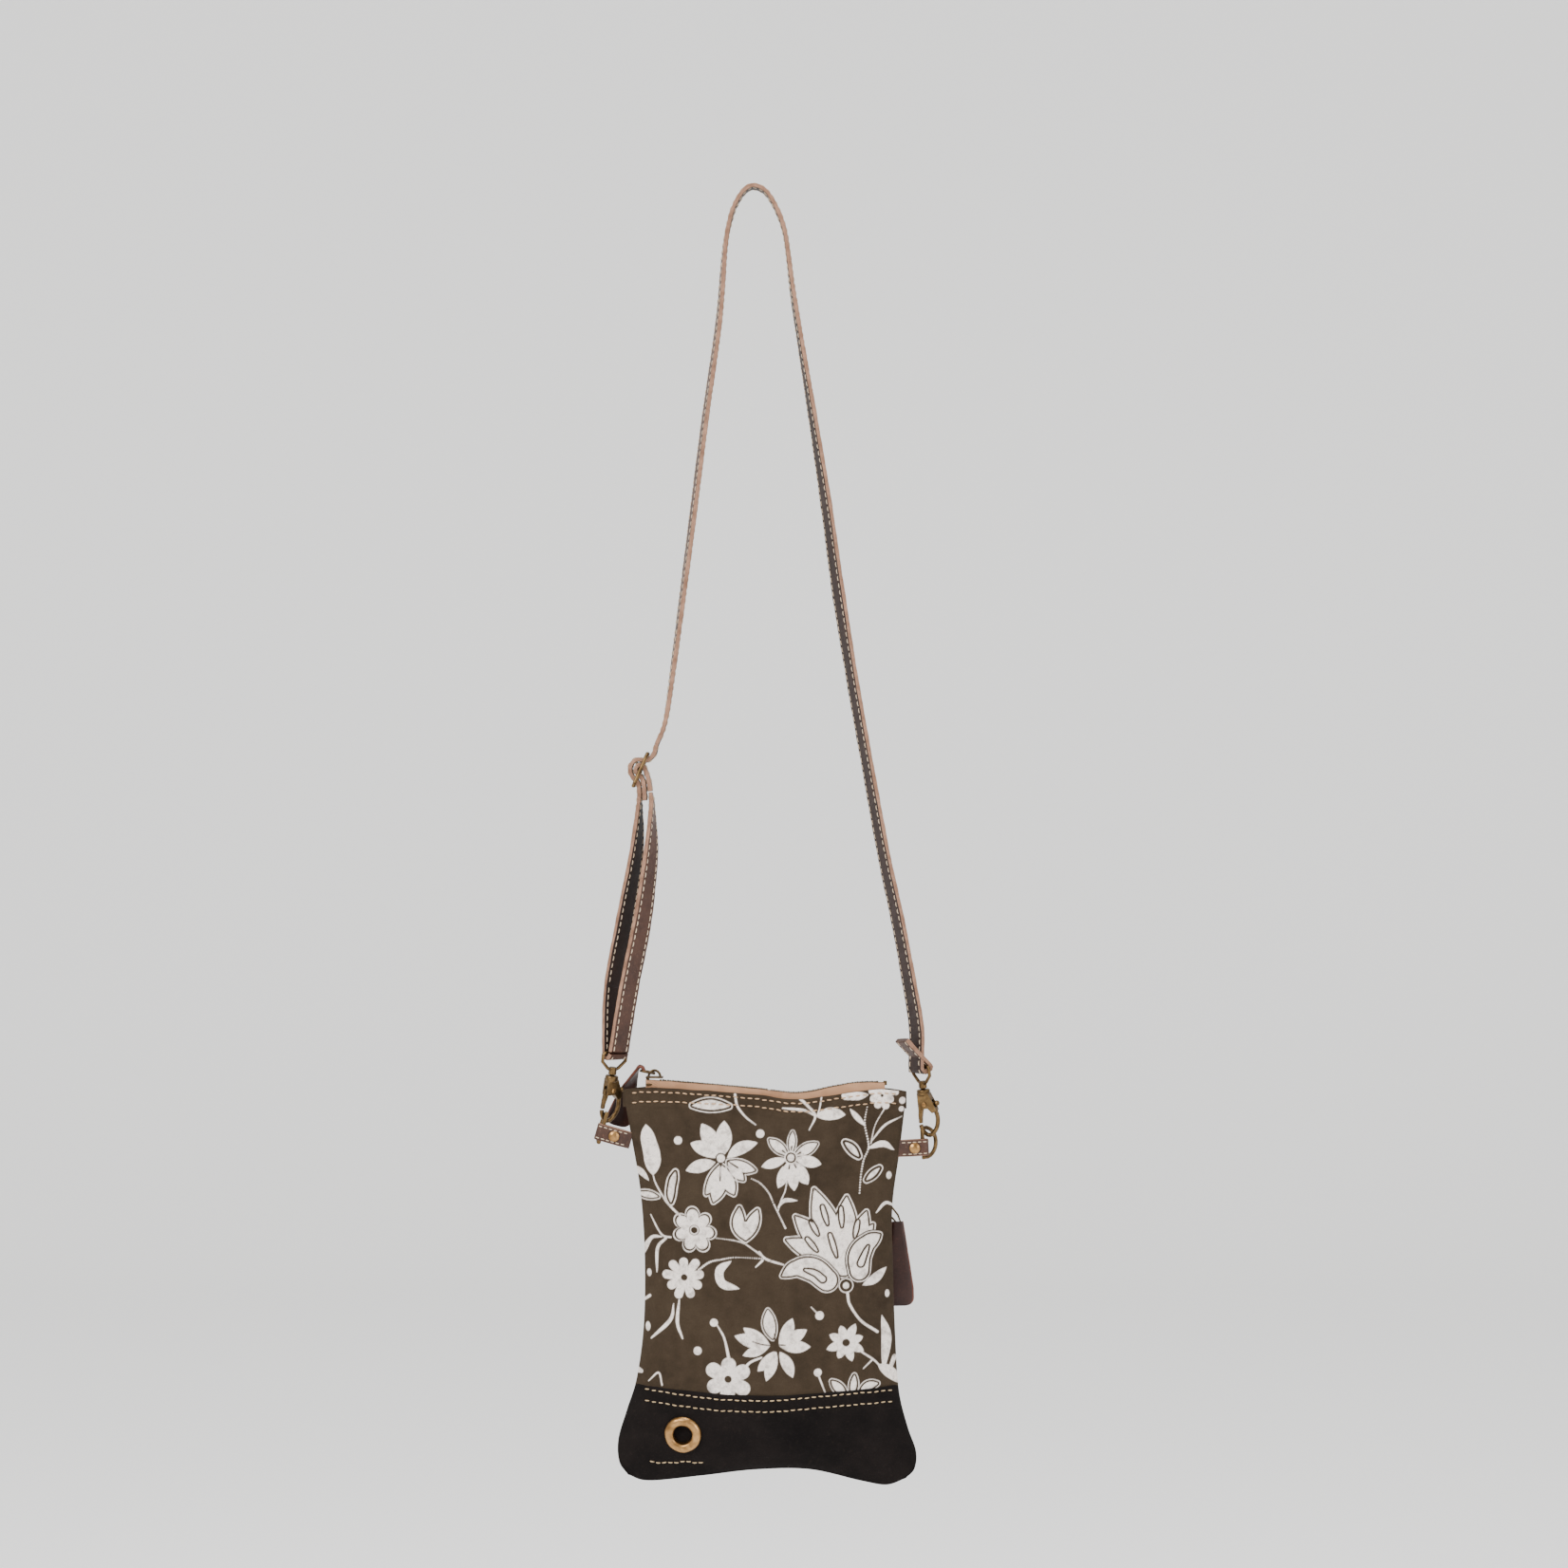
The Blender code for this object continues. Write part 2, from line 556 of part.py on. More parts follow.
# ------------------------------------------------------------------ snap hooks
def make_hook(word, bottom, top, yaw, eye_yaw):
    """A swivel hook in its own frame: X towards the bow's back, Z up the swivel axis, origin under the bow.

    Returns the placement of its strap eye, whose bar lies along X at EYE_BAR up the axis.
    """
    place = axes(bottom, (math.cos(yaw), math.sin(yaw), 0), Vector(top) - Vector(bottom))
    home = frame(f"{word}_hook_frame", place)
    cheeks = plate(f"{word}_hook_body", [(x * MM, z * MM) for x, z in (
        (-3.3, 26), (3.3, 26), (6.6, 18.6), (7.3, 15.5), (4.9, 14.2), (2.2, 17.0), (-3.4, 16.4))], 5.2 * MM,
        ANTIQUE_BRASS)
    cheeks.rotation_euler = (math.pi / 2, 0, 0)
    body = as_mesh(cheeks)
    collar = turned(f"{word}_collar", [(0, 28.2 * MM), (3.4 * MM, 28 * MM), (3.9 * MM, 27.2 * MM),
                                       (3.7 * MM, 25.2 * MM), (3.0 * MM, 24.4 * MM), (0, 24.4 * MM)],
                    ANTIQUE_BRASS, 16)
    bow_route = [(6.0, 16.2), (7.0, 12.5), (6.9, 9.0), (5.6, 5.2), (3.0, 2.2), (0.6, 1.35), (-1.6, 2.6),
                 (-3.3, 5.2), (-3.8, 7.6)]
    steps = 18
    bow = as_mesh(tube(f"{word}_bow", [(p.x * MM, 0, p.y * MM) for p in
                                       [smooth(bow_route, k / steps) for k in range(steps + 1)]],
                       HOOK_WIRE, ANTIQUE_BRASS))
    combine(body, collar, "UNION")
    combine(body, bow, "UNION")
    slot = block(f"{word}_gate_slot", (-6 * MM, -1.3 * MM, 12 * MM), (2.9 * MM, 1.3 * MM, 21.8 * MM),
                 ANTIQUE_BRASS)
    thumb = block(f"{word}_thumb_slot", (2.4 * MM, -1.3 * MM, 17.3 * MM), (9 * MM, 1.3 * MM, 21.8 * MM),
                  ANTIQUE_BRASS)
    bore = turned(f"{word}_pin_bore", [(0, 5 * MM), (1.05 * MM, 5 * MM), (1.05 * MM, -5 * MM), (0, -5 * MM)],
                  ANTIQUE_BRASS, 12)
    pivot = Vector((0.6 * MM, 0, 19.4 * MM))
    bore.matrix_world = Matrix.Translation(pivot) @ Matrix.Rotation(math.pi / 2, 4, "X")
    post_bore = turned(f"{word}_post_bore", [(0, 30 * MM), (1.5 * MM, 30 * MM), (1.5 * MM, 23 * MM), (0, 23 * MM)],
                       ANTIQUE_BRASS, 12)
    for tool in (slot, thumb, bore, post_bore):
        combine(body, tool, "DIFFERENCE")
    gate_home = frame(f"{word}_gate_frame", Matrix.Translation(pivot))
    gate_home.parent = home
    gate = plate(f"{word}_hook_gate", [(x * MM, z * MM) for x, z in (
        (-2.2, 1.6), (0.6, 1.9), (2.6, 1.1), (5.8, 1.0), (5.8, -0.5), (2.2, -1.0), (0.6, -1.9), (-1.6, -2.4),
        (-3.0, -8.0), (-3.3, -10.9), (-5.1, -10.9), (-5.0, -6.0), (-4.2, 0.2))], 2.0 * MM, ANTIQUE_BRASS)
    gate.rotation_euler = (math.pi / 2, 0, 0)
    gate = as_mesh(gate)
    eye_of_gate = turned(f"{word}_gate_bore", [(0, 3 * MM), (1.05 * MM, 3 * MM), (1.05 * MM, -3 * MM),
                                               (0, -3 * MM)], ANTIQUE_BRASS, 12)
    eye_of_gate.matrix_world = Matrix.Rotation(math.pi / 2, 4, "X")
    nub = turned(f"{word}_nub", [(0, 1.7 * MM), (1.2 * MM, 1.2 * MM), (1.7 * MM, 0), (1.2 * MM, -1.2 * MM),
                                 (0, -1.7 * MM)], ANTIQUE_BRASS, 12)
    nub.matrix_world = Matrix.Translation((6.9 * MM, 0, 0.3 * MM))
    combine(gate, nub, "UNION")
    combine(gate, eye_of_gate, "DIFFERENCE")
    pin = turned(f"{word}_gate_pin", [(0, 3.3 * MM), (1.3 * MM, 3.1 * MM), (1.5 * MM, 2.75 * MM + GAP / 2),
                                      (0.8 * MM, 2.6 * MM + GAP), (0.8 * MM, -3.2 * MM), (0, -3.3 * MM)],
                 ANTIQUE_BRASS, 12)
    pin.matrix_world = bore.matrix_world.copy()
    eye = tube(f"{word}_swivel_eye", [(x * MM, 0, z * MM) for x, z in (
        (-7.8, EYE_BAR), (7.8, EYE_BAR), (8.7, 40.4), (8.6, 36.2), (4.2, 32.4), (2.6, 31.6), (-2.6, 31.6),
        (-4.2, 32.4), (-8.6, 36.2), (-8.7, 40.4))], 1.05 * MM, ANTIQUE_BRASS, cyclic=True)
    eye = as_mesh(eye)
    post = turned(f"{word}_post", [(0, 33.0 * MM), (2.2 * MM, 32.8 * MM), (2.4 * MM, 28.7 * MM),
                                   (1.1 * MM, 28.5 * MM), (1.1 * MM, 23.6 * MM), (0, 23.6 * MM)],
                  ANTIQUE_BRASS, 14)
    combine(eye, post, "UNION")
    nub.parent = gate
    eye_of_gate.parent = gate
    post.parent = eye
    for tool in (collar, bow, slot, thumb, bore, post_bore):
        tool.parent = body
    for piece in (body, pin, gate_home):
        piece.parent = home
    gate.parent = gate_home
    eye_place = axes(bottom, (math.cos(eye_yaw), math.sin(eye_yaw), 0), Vector(top) - Vector(bottom))
    eye.parent = frame(f"{word}_eye_frame", eye_place)
    return eye_place


# ------------------------------------------------------------------ strap and adjuster
def route_frame(route, t):
    """The point on a strap's route, and the direction its width runs. A route point is (x, y, z, turn)."""
    x, y, z, turn = smooth(route, t)
    step = 0.0004
    ahead, behind = smooth(route, min(t + step, 1.0)), smooth(route, max(t - step, 0.0))
    run = Vector((ahead[0] - behind[0], ahead[1] - behind[1], ahead[2] - behind[2])).normalized()
    side = Vector((math.sin(math.radians(turn)), math.cos(math.radians(turn)), 0))
    side = (side - run * side.dot(run)).normalized()
    return Vector((x, y, z)) * MM, side


def strap_piece(name, route):
    """A length of strap. Short stretches of the route, as round a bar, are cut as finely as long ones."""
    lengths = [0.0]
    for a, b in zip(route, route[1:]):
        lengths.append(lengths[-1] + (Vector(b) - Vector(a)).length)
    stations = [0.0]
    for start, end in zip(lengths, lengths[1:]):
        cuts = max(2, math.ceil((end - start) / STRAP_STEP))
        stations += [(start + (end - start) * (k + 1) / cuts) / lengths[-1] for k in range(cuts)]
    count = len(stations) - 1

    def at(v):
        return route_frame(route, stations[round(v * count)])

    return ribbon(name, lambda v: at(v)[0], lambda v: at(v)[1], lambda v: STRAP_WIDTH, STRAP_THICK,
                  STRAP_LEATHER, count)


LEFT_FALL = [(0, 0, 1.3, 0), (-5.6, 0, -0.9, 0), (-10.8, 0, -8.6, 0), (-14, 0, -17.8, 0), (-16.9, 0, -34, -4),
             (-20.4, 0, -75.6, -8), (-28.4, 0, -132.8, -10), (-37, 0, -200.9, -10), (-45.6, 0, -267.3, -6),
             (-50.6, 0, -302, -2), (-55.6, 0, -316, 0), (-57.2, 0, -321.6, 0), (-61.3, 0, -325.2, 0),
             (-66.8, 0, -324.7, 0), (-70.2, 0, -327.7, 0), (-70.6, 0, -331.5, 0), (-69.2, 0, -334.6, 0),
             (-66.8, 0, -337.2, 0), (-65.6, 0, -341.5, 0), (-65.6, 0.4, -350, 4), (-67.4, 2, -378, 28),
             (-73.5, 3.4, -415, 42), (-80.2, 3.6, -454, 47)]
RIGHT_FALL = [(83.6, -4.4, -484, -30), (88.5, -2.4, -489.5, -30)]
RIGHT_RISE = [(92.2, 2.6, -478, -30), (87.8, 1.5, -450.4, -28), (81.4, 0.8, -416, -26), (73.4, 0, -378.5, -24),
              (64.6, 0, -330, -22), (55.6, 0, -279.2, -22), (47.5, 0, -228.4, -24), (41, 0, -181.4, -20),
              (34.2, 0, -137, -14), (27.6, 0, -96, -8), (21.9, 0, -59.9, -4), (19.2, 0, -38, 0),
              (17.0, 0, -24, 0), (13.0, 0, -12.5, 0), (6.8, 0, -2.2, 0)]
INNER_LEG = [(-71.2, -4.4, -454, 47), (-63.6, -3.2, -415, 42), (-59.0, -1.6, -378, 28), (-58.4, -0.4, -352, 4),
             (-59.1, 0, -343.6, 0)]
SEWN_END = [(-59.25, 0, -342.8, 0), (-60.2, 0, -336.5, 0), (-61.8, 0, -331.5, 0), (-63.4, 0, -328.2, 0),
            (-66.0, 0, -328.0, 0), (-67.6, 0, -330.4, 0), (-66.6, 0, -332.8, 0), (-64.3, 0, -334.8, 0),
            (-62.9, 0, -339, 0), (-62.3, 0, -348, 0)]
ADJUSTER = Vector((-64.8, 0, -330.5))
ADJUSTER_RUN = Vector((-0.4, 0, -0.917))


def u_turn(eye_place, start_side):
    """Route points where the strap goes under the eye's bar, from one side of it to the other."""
    across = eye_place.to_3x3() @ Vector((0, 1, 0))
    up = eye_place.to_3x3() @ Vector((0, 0, 1))
    run = eye_place.to_3x3() @ Vector((1, 0, 0))
    centre = eye_place @ Vector((0, 0, EYE_BAR * MM)) / MM
    turn = math.degrees(math.atan2(run.x, run.y))
    while turn > 90:
        turn -= 180
    while turn < -90:
        turn += 180
    radius = 1.05 + STRAP_THICK / MM / 2 + 0.6
    points = []
    for degrees in (0, 45, 90, 135, 180):
        a = math.radians(degrees)
        at = centre + across * (start_side * radius * math.cos(a)) - up * (radius * math.sin(a))
        points.append((*at, turn))
    return points


def make_strap(left_eye, right_eye):
    route = RIGHT_FALL + u_turn(right_eye, 1) + RIGHT_RISE + LEFT_FALL + u_turn(left_eye, 1)
    strap_piece("shoulder_strap", route)
    start = Vector(u_turn(left_eye, 1)[-1])
    strap_piece("strap_inner_leg", [(start.x, start.y, start.z + 0.9, start.w)] + INNER_LEG)
    strap_piece("strap_sewn_end", SEWN_END)


def make_adjuster():
    half_wide, half_long, corner = 9.2 * MM, 10.0 * MM, 2.0 * MM
    outline_points = [(-half_long, -half_wide + corner), (-half_long + corner, -half_wide),
                      (half_long - corner, -half_wide), (half_long, -half_wide + corner),
                      (half_long, half_wide - corner), (half_long - corner, half_wide),
                      (-half_long + corner, half_wide), (-half_long, half_wide - corner)]
    loop = as_mesh(tube("strap_adjuster", [(x, y, 0) for x, y in outline_points], 1.1 * MM, ANTIQUE_BRASS,
                        cyclic=True))
    bar = as_mesh(tube("adjuster_bar", [(0, -half_wide, 0), (0, half_wide, 0)], 1.0 * MM, ANTIQUE_BRASS))
    bar.parent = loop
    combine(loop, bar, "UNION")
    home = frame("adjuster_frame", axes(ADJUSTER * MM, ADJUSTER_RUN, (0.917, 0, -0.4)))
    loop.parent = home


def hook_bottom(bar, yaw, up):
    """Where a hook's origin lies so that its bow passes just under the top of a ring."""
    heading = Vector((math.cos(yaw), math.sin(yaw), 0))
    heading = (heading - up * heading.dot(up)).normalized()
    crossing = bar + heading * (RING_CONTACT[0] * MM) + up * (RING_CONTACT[1] * MM)
    return crossing - Vector((0, 0, 1)) * (RING_WIRE + 2 * HOOK_WIRE + 1.4 * MM)


def make_side(word, side, tab, ring_yaw, hook_yaw, eye_yaw, eye):
    root, end = Vector(tab[0]) * MM, Vector(tab[1]) * MM
    slope = math.atan2(end.z - root.z, side * (end.x - root.x))
    bar = make_tab(word, side, root, slope, end, RIVET_AT, ring_yaw)
    up = Vector((-side * math.sin(slope), 0, math.cos(slope)))
    return make_hook(word, hook_bottom(bar, ring_yaw, up), Vector(eye) * MM, hook_yaw, eye_yaw)


def make_purse():
    _, front_band = make_shell("front", FRONT_BULGE, -1)
    make_grommet(front_band)
    rear_canvas, _ = make_shell("rear", REAR_BULGE, 1)
    make_main_zip()
    make_puller()
    pivot, path, width = make_pocket_zip(rear_canvas)
    tag_at = pivot + Vector((19.6, 3.2, -13.6)) * MM
    tag = ribbon("pocket_leather_tag", path, lambda t: Vector((1, 0, 0)), width, 1.8 * MM, BROWN_LEATHER, 18)
    tag.parent = frame("pocket_tag_frame", Matrix.Translation(tag_at))
    left = make_side("left", -1, LEFT_TAB, LEFT_RING_YAW, LEFT_HOOK_YAW, LEFT_EYE_YAW, LEFT_EYE)
    right = make_side("right", 1, RIGHT_TAB, RIGHT_RING_YAW, RIGHT_HOOK_YAW, RIGHT_EYE_YAW, RIGHT_EYE)
    make_strap(left, right)
    make_adjuster()


make_purse()
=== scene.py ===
"""The looks of a small crossbody purse.

Printed canvas over a suede base band, hung from a stitched leather strap.

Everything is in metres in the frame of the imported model: +Z up, -Y the printed front, +X the viewer's right.
Numbers in the tables of routes and outlines are millimetres.
"""

import json
import math

import bmesh
import bpy
import numpy as np
from mathutils import Matrix, Vector


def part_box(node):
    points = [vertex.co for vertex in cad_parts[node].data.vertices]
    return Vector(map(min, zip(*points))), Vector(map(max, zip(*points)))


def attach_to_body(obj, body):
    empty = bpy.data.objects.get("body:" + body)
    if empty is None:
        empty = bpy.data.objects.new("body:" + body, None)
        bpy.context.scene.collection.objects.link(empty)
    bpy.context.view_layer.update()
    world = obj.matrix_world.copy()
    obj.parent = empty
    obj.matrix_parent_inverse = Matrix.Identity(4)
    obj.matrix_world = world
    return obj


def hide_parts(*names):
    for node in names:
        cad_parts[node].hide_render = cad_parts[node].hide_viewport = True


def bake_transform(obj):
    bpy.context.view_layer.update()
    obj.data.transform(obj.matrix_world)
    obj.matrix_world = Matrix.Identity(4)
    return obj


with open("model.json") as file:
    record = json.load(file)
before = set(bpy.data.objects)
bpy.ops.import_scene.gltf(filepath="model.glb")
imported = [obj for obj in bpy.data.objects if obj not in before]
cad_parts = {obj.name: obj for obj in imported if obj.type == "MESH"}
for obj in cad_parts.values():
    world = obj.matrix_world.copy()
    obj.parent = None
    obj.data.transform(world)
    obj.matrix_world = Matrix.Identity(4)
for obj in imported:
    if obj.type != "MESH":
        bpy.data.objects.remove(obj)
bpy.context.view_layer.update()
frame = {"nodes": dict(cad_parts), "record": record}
NODES = frame["nodes"]
MM = 0.001

# ------------------------------------------------------------------ the bag's outline, as the frame has it
LEFT_SIDE = [(-75, -513), (-70, -540), (-65, -570), (-62.6, -605), (-63, -645), (-67, -676),
             (-72.5, -694), (-77.5, -711), (-77, -724), (-72, -731.5)]
RIGHT_SIDE = [(86.4, -514), (82.5, -547), (78.4, -578), (78.6, -610), (79.9, -650), (82, -683),
              (87, -704), (91.8, -718), (91, -728), (86, -733.5)]
HEM_EDGE = [(-75, -513), (-56, -511.5), (-3, -515), (24, -518), (50, -514.8), (72, -512.2), (86.4, -514)]
BOTTOM_EDGE = [(-72, -731.5), (-60, -734.8), (-30, -732), (0, -728.6), (31, -728.4), (60, -734.8),
               (75, -737.2), (86, -733.5)]
ZIP_LINE = [(-75, -507.6), (-56.7, -507.4), (-3, -511.8), (24, -514.6), (46, -510.8), (60, -508.7),
            (80, -508.7)]
BAND_TOP = [(-80, -678.5), (-20, -683.5), (10, -684.6), (40, -682.8), (95, -679.4)]
FRONT_BULGE = [(0, 0.0), (0.03, 5.0), (0.09, 12.0), (0.2, 17.5), (0.35, 20.0), (0.55, 18.5), (0.75, 14.0),
               (0.9, 9.0), (1.0, 6.2)]
REAR_BULGE = [(0, 0.0), (0.03, 4.5), (0.09, 10.0), (0.2, 13.5), (0.35, 15.0), (0.55, 14.6), (0.75, 13.0),
              (0.9, 9.0), (1.0, 6.2)]
SEAM_HALF_GAP = 0.35
LINING_WIDTH, LINING_DEPTH = 0.93, 0.65
GROMMET = (-40.6, -706.9)
GROMMET_HOLE = 5.9
ZIP_LEFT, ZIP_RIGHT = -54.0, 72.0
POCKET_Z, POCKET_LEFT, POCKET_RIGHT, POCKET_SLOT_HALF = -577.0, -44.0, 64.0, 4.6
POCKET_DEPTH = 12.35
POCKET_OPENING = 5.2
TAB_WIDTH, TAB_THICK = 9.4, 1.4
RING_WIRE = 1.25
LEFT_TAB = ((-73.2, 0, -540.7), (-87.3, 0, -536.7))
RIGHT_TAB = ((84.0, 0, -545.9), (96.0, 0, -545.2))
SAMPLES = 700


# ------------------------------------------------------------------ curves
def smooth(points, t):
    """A point on the Catmull-Rom curve through the points, at t from 0 to 1 by chord length."""
    nodes = [np.array(p, float) for p in points]
    lengths = [0.0]
    for a, b in zip(nodes, nodes[1:]):
        lengths.append(lengths[-1] + np.linalg.norm(b - a))
    at = min(max(t, 0.0), 1.0) * lengths[-1]
    k = 0
    while k < len(nodes) - 2 and at > lengths[k + 1]:
        k += 1
    w = (at - lengths[k]) / (lengths[k + 1] - lengths[k])
    p1, p2 = nodes[k], nodes[k + 1]
    p0 = nodes[k - 1] if k else 2 * p1 - p2
    p3 = nodes[k + 2] if k + 2 < len(nodes) else 2 * p2 - p1
    return 0.5 * (2 * p1 + (p2 - p0) * w + (2 * p0 - 5 * p1 + 4 * p2 - p3) * w**2
                  + (3 * p1 - p0 - 3 * p2 + p3) * w**3)


def curve(points, samples=SAMPLES):
    """The smooth curve through the points as a table of samples, evenly spaced in t."""
    return np.array([smooth(points, k / (samples - 1)) for k in range(samples)])


def along(table, t):
    """Points of a sampled curve at t, an array from 0 to 1: one array for each coordinate."""
    at = np.clip(t, 0, 1) * (len(table) - 1)
    steps = np.arange(len(table))
    return [np.interp(at, steps, table[:, k]) for k in range(table.shape[1])]


LEFT, RIGHT, HEM, BOTTOM = (curve(p) for p in (LEFT_SIDE, RIGHT_SIDE, HEM_EDGE, BOTTOM_EDGE))
ZIP, FRONT_DEPTH, REAR_DEPTH = curve(ZIP_LINE), curve(FRONT_BULGE), curve(REAR_BULGE)
BAND = np.array(BAND_TOP, float)


def ease(x, low, high):
    t = np.clip((x - low) / (high - low), 0, 1)
    return t * t * (3 - 2 * t)


# ------------------------------------------------------------------ the bag's surface, in millimetres
def outline(u, v):
    """X and Z on the bag's face: u across from left to right, v up from the base to the hem."""
    left_x, left_z = along(LEFT, 1 - v)
    right_x, right_z = along(RIGHT, 1 - v)
    low_x, low_z = along(BOTTOM, u)
    high_x, high_z = along(HEM, u)
    (bl_x, bl_z), (br_x, br_z) = LEFT_SIDE[-1], RIGHT_SIDE[-1]
    (tl_x, tl_z), (tr_x, tr_z) = LEFT_SIDE[0], RIGHT_SIDE[0]
    x = left_x * (1 - u) + right_x * u + low_x * (1 - v) + high_x * v
    z = left_z * (1 - u) + right_z * u + low_z * (1 - v) + high_z * v
    x -= (bl_x * (1 - u) + br_x * u) * (1 - v) + (tl_x * (1 - u) + tr_x * u) * v
    z -= (bl_z * (1 - u) + br_z * u) * (1 - v) + (tl_z * (1 - u) + tr_z * u) * v
    return x, z


def bulge(side, u, v):
    """How far the shell stands from the middle plane: a pillow that flattens into a slot at the mouth."""
    table = FRONT_DEPTH if side < 0 else REAR_DEPTH
    flat = np.clip((v - 0.78) / 0.22, 0, 1)
    power = (2.3 if side < 0 else 3.6) + 9 * flat * flat
    depth = np.interp(v, table[:, 0], table[:, 1])
    across = np.clip(np.abs(2 * u - 1), 0, 1)
    return SEAM_HALF_GAP + np.maximum(depth - SEAM_HALF_GAP, 0) * np.maximum(1 - across**power, 0) ** 0.72


def v_at(u, z):
    low, high = np.zeros_like(u), np.ones_like(u)
    for _ in range(18):
        middle = (low + high) / 2
        below = outline(u, middle)[1] < z
        low, high = np.where(below, middle, low), np.where(below, high, middle)
    return low


def uv_at(x, z):
    """The u and v of the points of the bag's face with this X and Z."""
    u = np.full_like(x, 0.5)
    for _ in range(4):
        v = v_at(u, z)
        low, high = np.zeros_like(u), np.ones_like(u)
        for _ in range(18):
            middle = (low + high) / 2
            left = outline(middle, v)[0] < x
            low, high = np.where(left, middle, low), np.where(left, high, middle)
        u = low
    return u, v_at(u, z)


def band_top(x):
    return np.interp(x, BAND[:, 0], BAND[:, 1])


def hem_z(u):
    return along(HEM, u)[1]


def ripple(x, z, side):
    """Soft creases of cloth, in millimetres: long slack folds, and a fine one across them."""
    a = np.sin(x * 0.055 + z * 0.021 + 0.4 + side) * np.sin(z * 0.047 - x * 0.013 + 1.1)
    b = np.sin(x * 0.16 - z * 0.11 + 2.2 * side + np.sin(z * 0.05) * 1.4) * np.sin(z * 0.09 + x * 0.03)
    c = np.sin((x * 0.42 + z * 0.27) + 1.7 * np.sin(x * 0.05 + side)) * np.sin(z * 0.21 - x * 0.14 + 0.6)
    return 0.45 * a + 0.28 * b + 0.09 * c


def pucker(x, gap, pitch=4.1):
    """The cloth drawn in at a row of stitches: gap is the distance from the row."""
    return (0.16 + 0.10 * np.sin(2 * math.pi * x / pitch)) * np.exp(-(gap / 1.7) ** 2)


def canvas_depth(side, u, v, x, z):
    """The canvas panel's outer face, with its folded hem, its two rows of stitches and its creases."""
    below_hem = hem_z(u) - z
    inside = ease(np.minimum(u, 1 - u), 0.0, 0.07) * ease(v, 0.0, 0.05) * (1 - 0.6 * ease(v, 0.9, 1.0))
    depth = bulge(side, u, v) + ripple(x, z, side) * inside
    depth += 0.35 * (1 - ease(below_hem, 9.6, 11.4))
    depth -= 0.3 * np.exp(-(below_hem / 0.8) ** 2)
    depth -= pucker(x, below_hem - 1.9) + pucker(x + 1.3, below_hem - row_b_drop(u))
    depth -= 0.3 * (1 - ease(z - band_top(x), 0.0, 1.6))
    if side > 0:
        flat = 1 - ease(np.abs(z - POCKET_Z), 8.0, 28.0)
        flat = flat * ease(x, POCKET_LEFT - 18, POCKET_LEFT - 3)
        flat = flat * (1 - ease(x, POCKET_RIGHT + 3, POCKET_RIGHT + 14))
        depth = depth + (POCKET_DEPTH - depth) * flat
    return depth


def row_b_drop(u):
    return np.interp(u, [0, 0.45, 1], [7.6, 6.2, 7.4])


def band_depth(side, u, v, x, z):
    """The base band's outer face: a lapped edge stands on the canvas, with two rows of stitches under it."""
    below = band_top(x) - z
    inside = ease(np.minimum(u, 1 - u), 0.0, 0.07) * ease(v, 0.0, 0.12)
    depth = bulge(side, u, v) + 0.7 * ripple(x * 1.3, z * 1.3, side + 0.7) * inside
    depth += 0.75 * (1 - ease(below, 12.5, 14.5) * 0.55) * ease(np.minimum(u, 1 - u), 0.0, 0.03)
    depth -= pucker(x, below - 2.2) + pucker(x + 1.1, below - 8.6)
    depth -= 0.45 * np.exp(-(below / 0.5) ** 2)
    return depth


# ------------------------------------------------------------------ materials
def linear(red, green, blue):
    """A colour given as the eye reads it, 0 to 255, in the renderer's linear values."""
    return tuple(((c / 255 + 0.055) / 1.055) ** 2.4 for c in (red, green, blue)) + (1.0,)


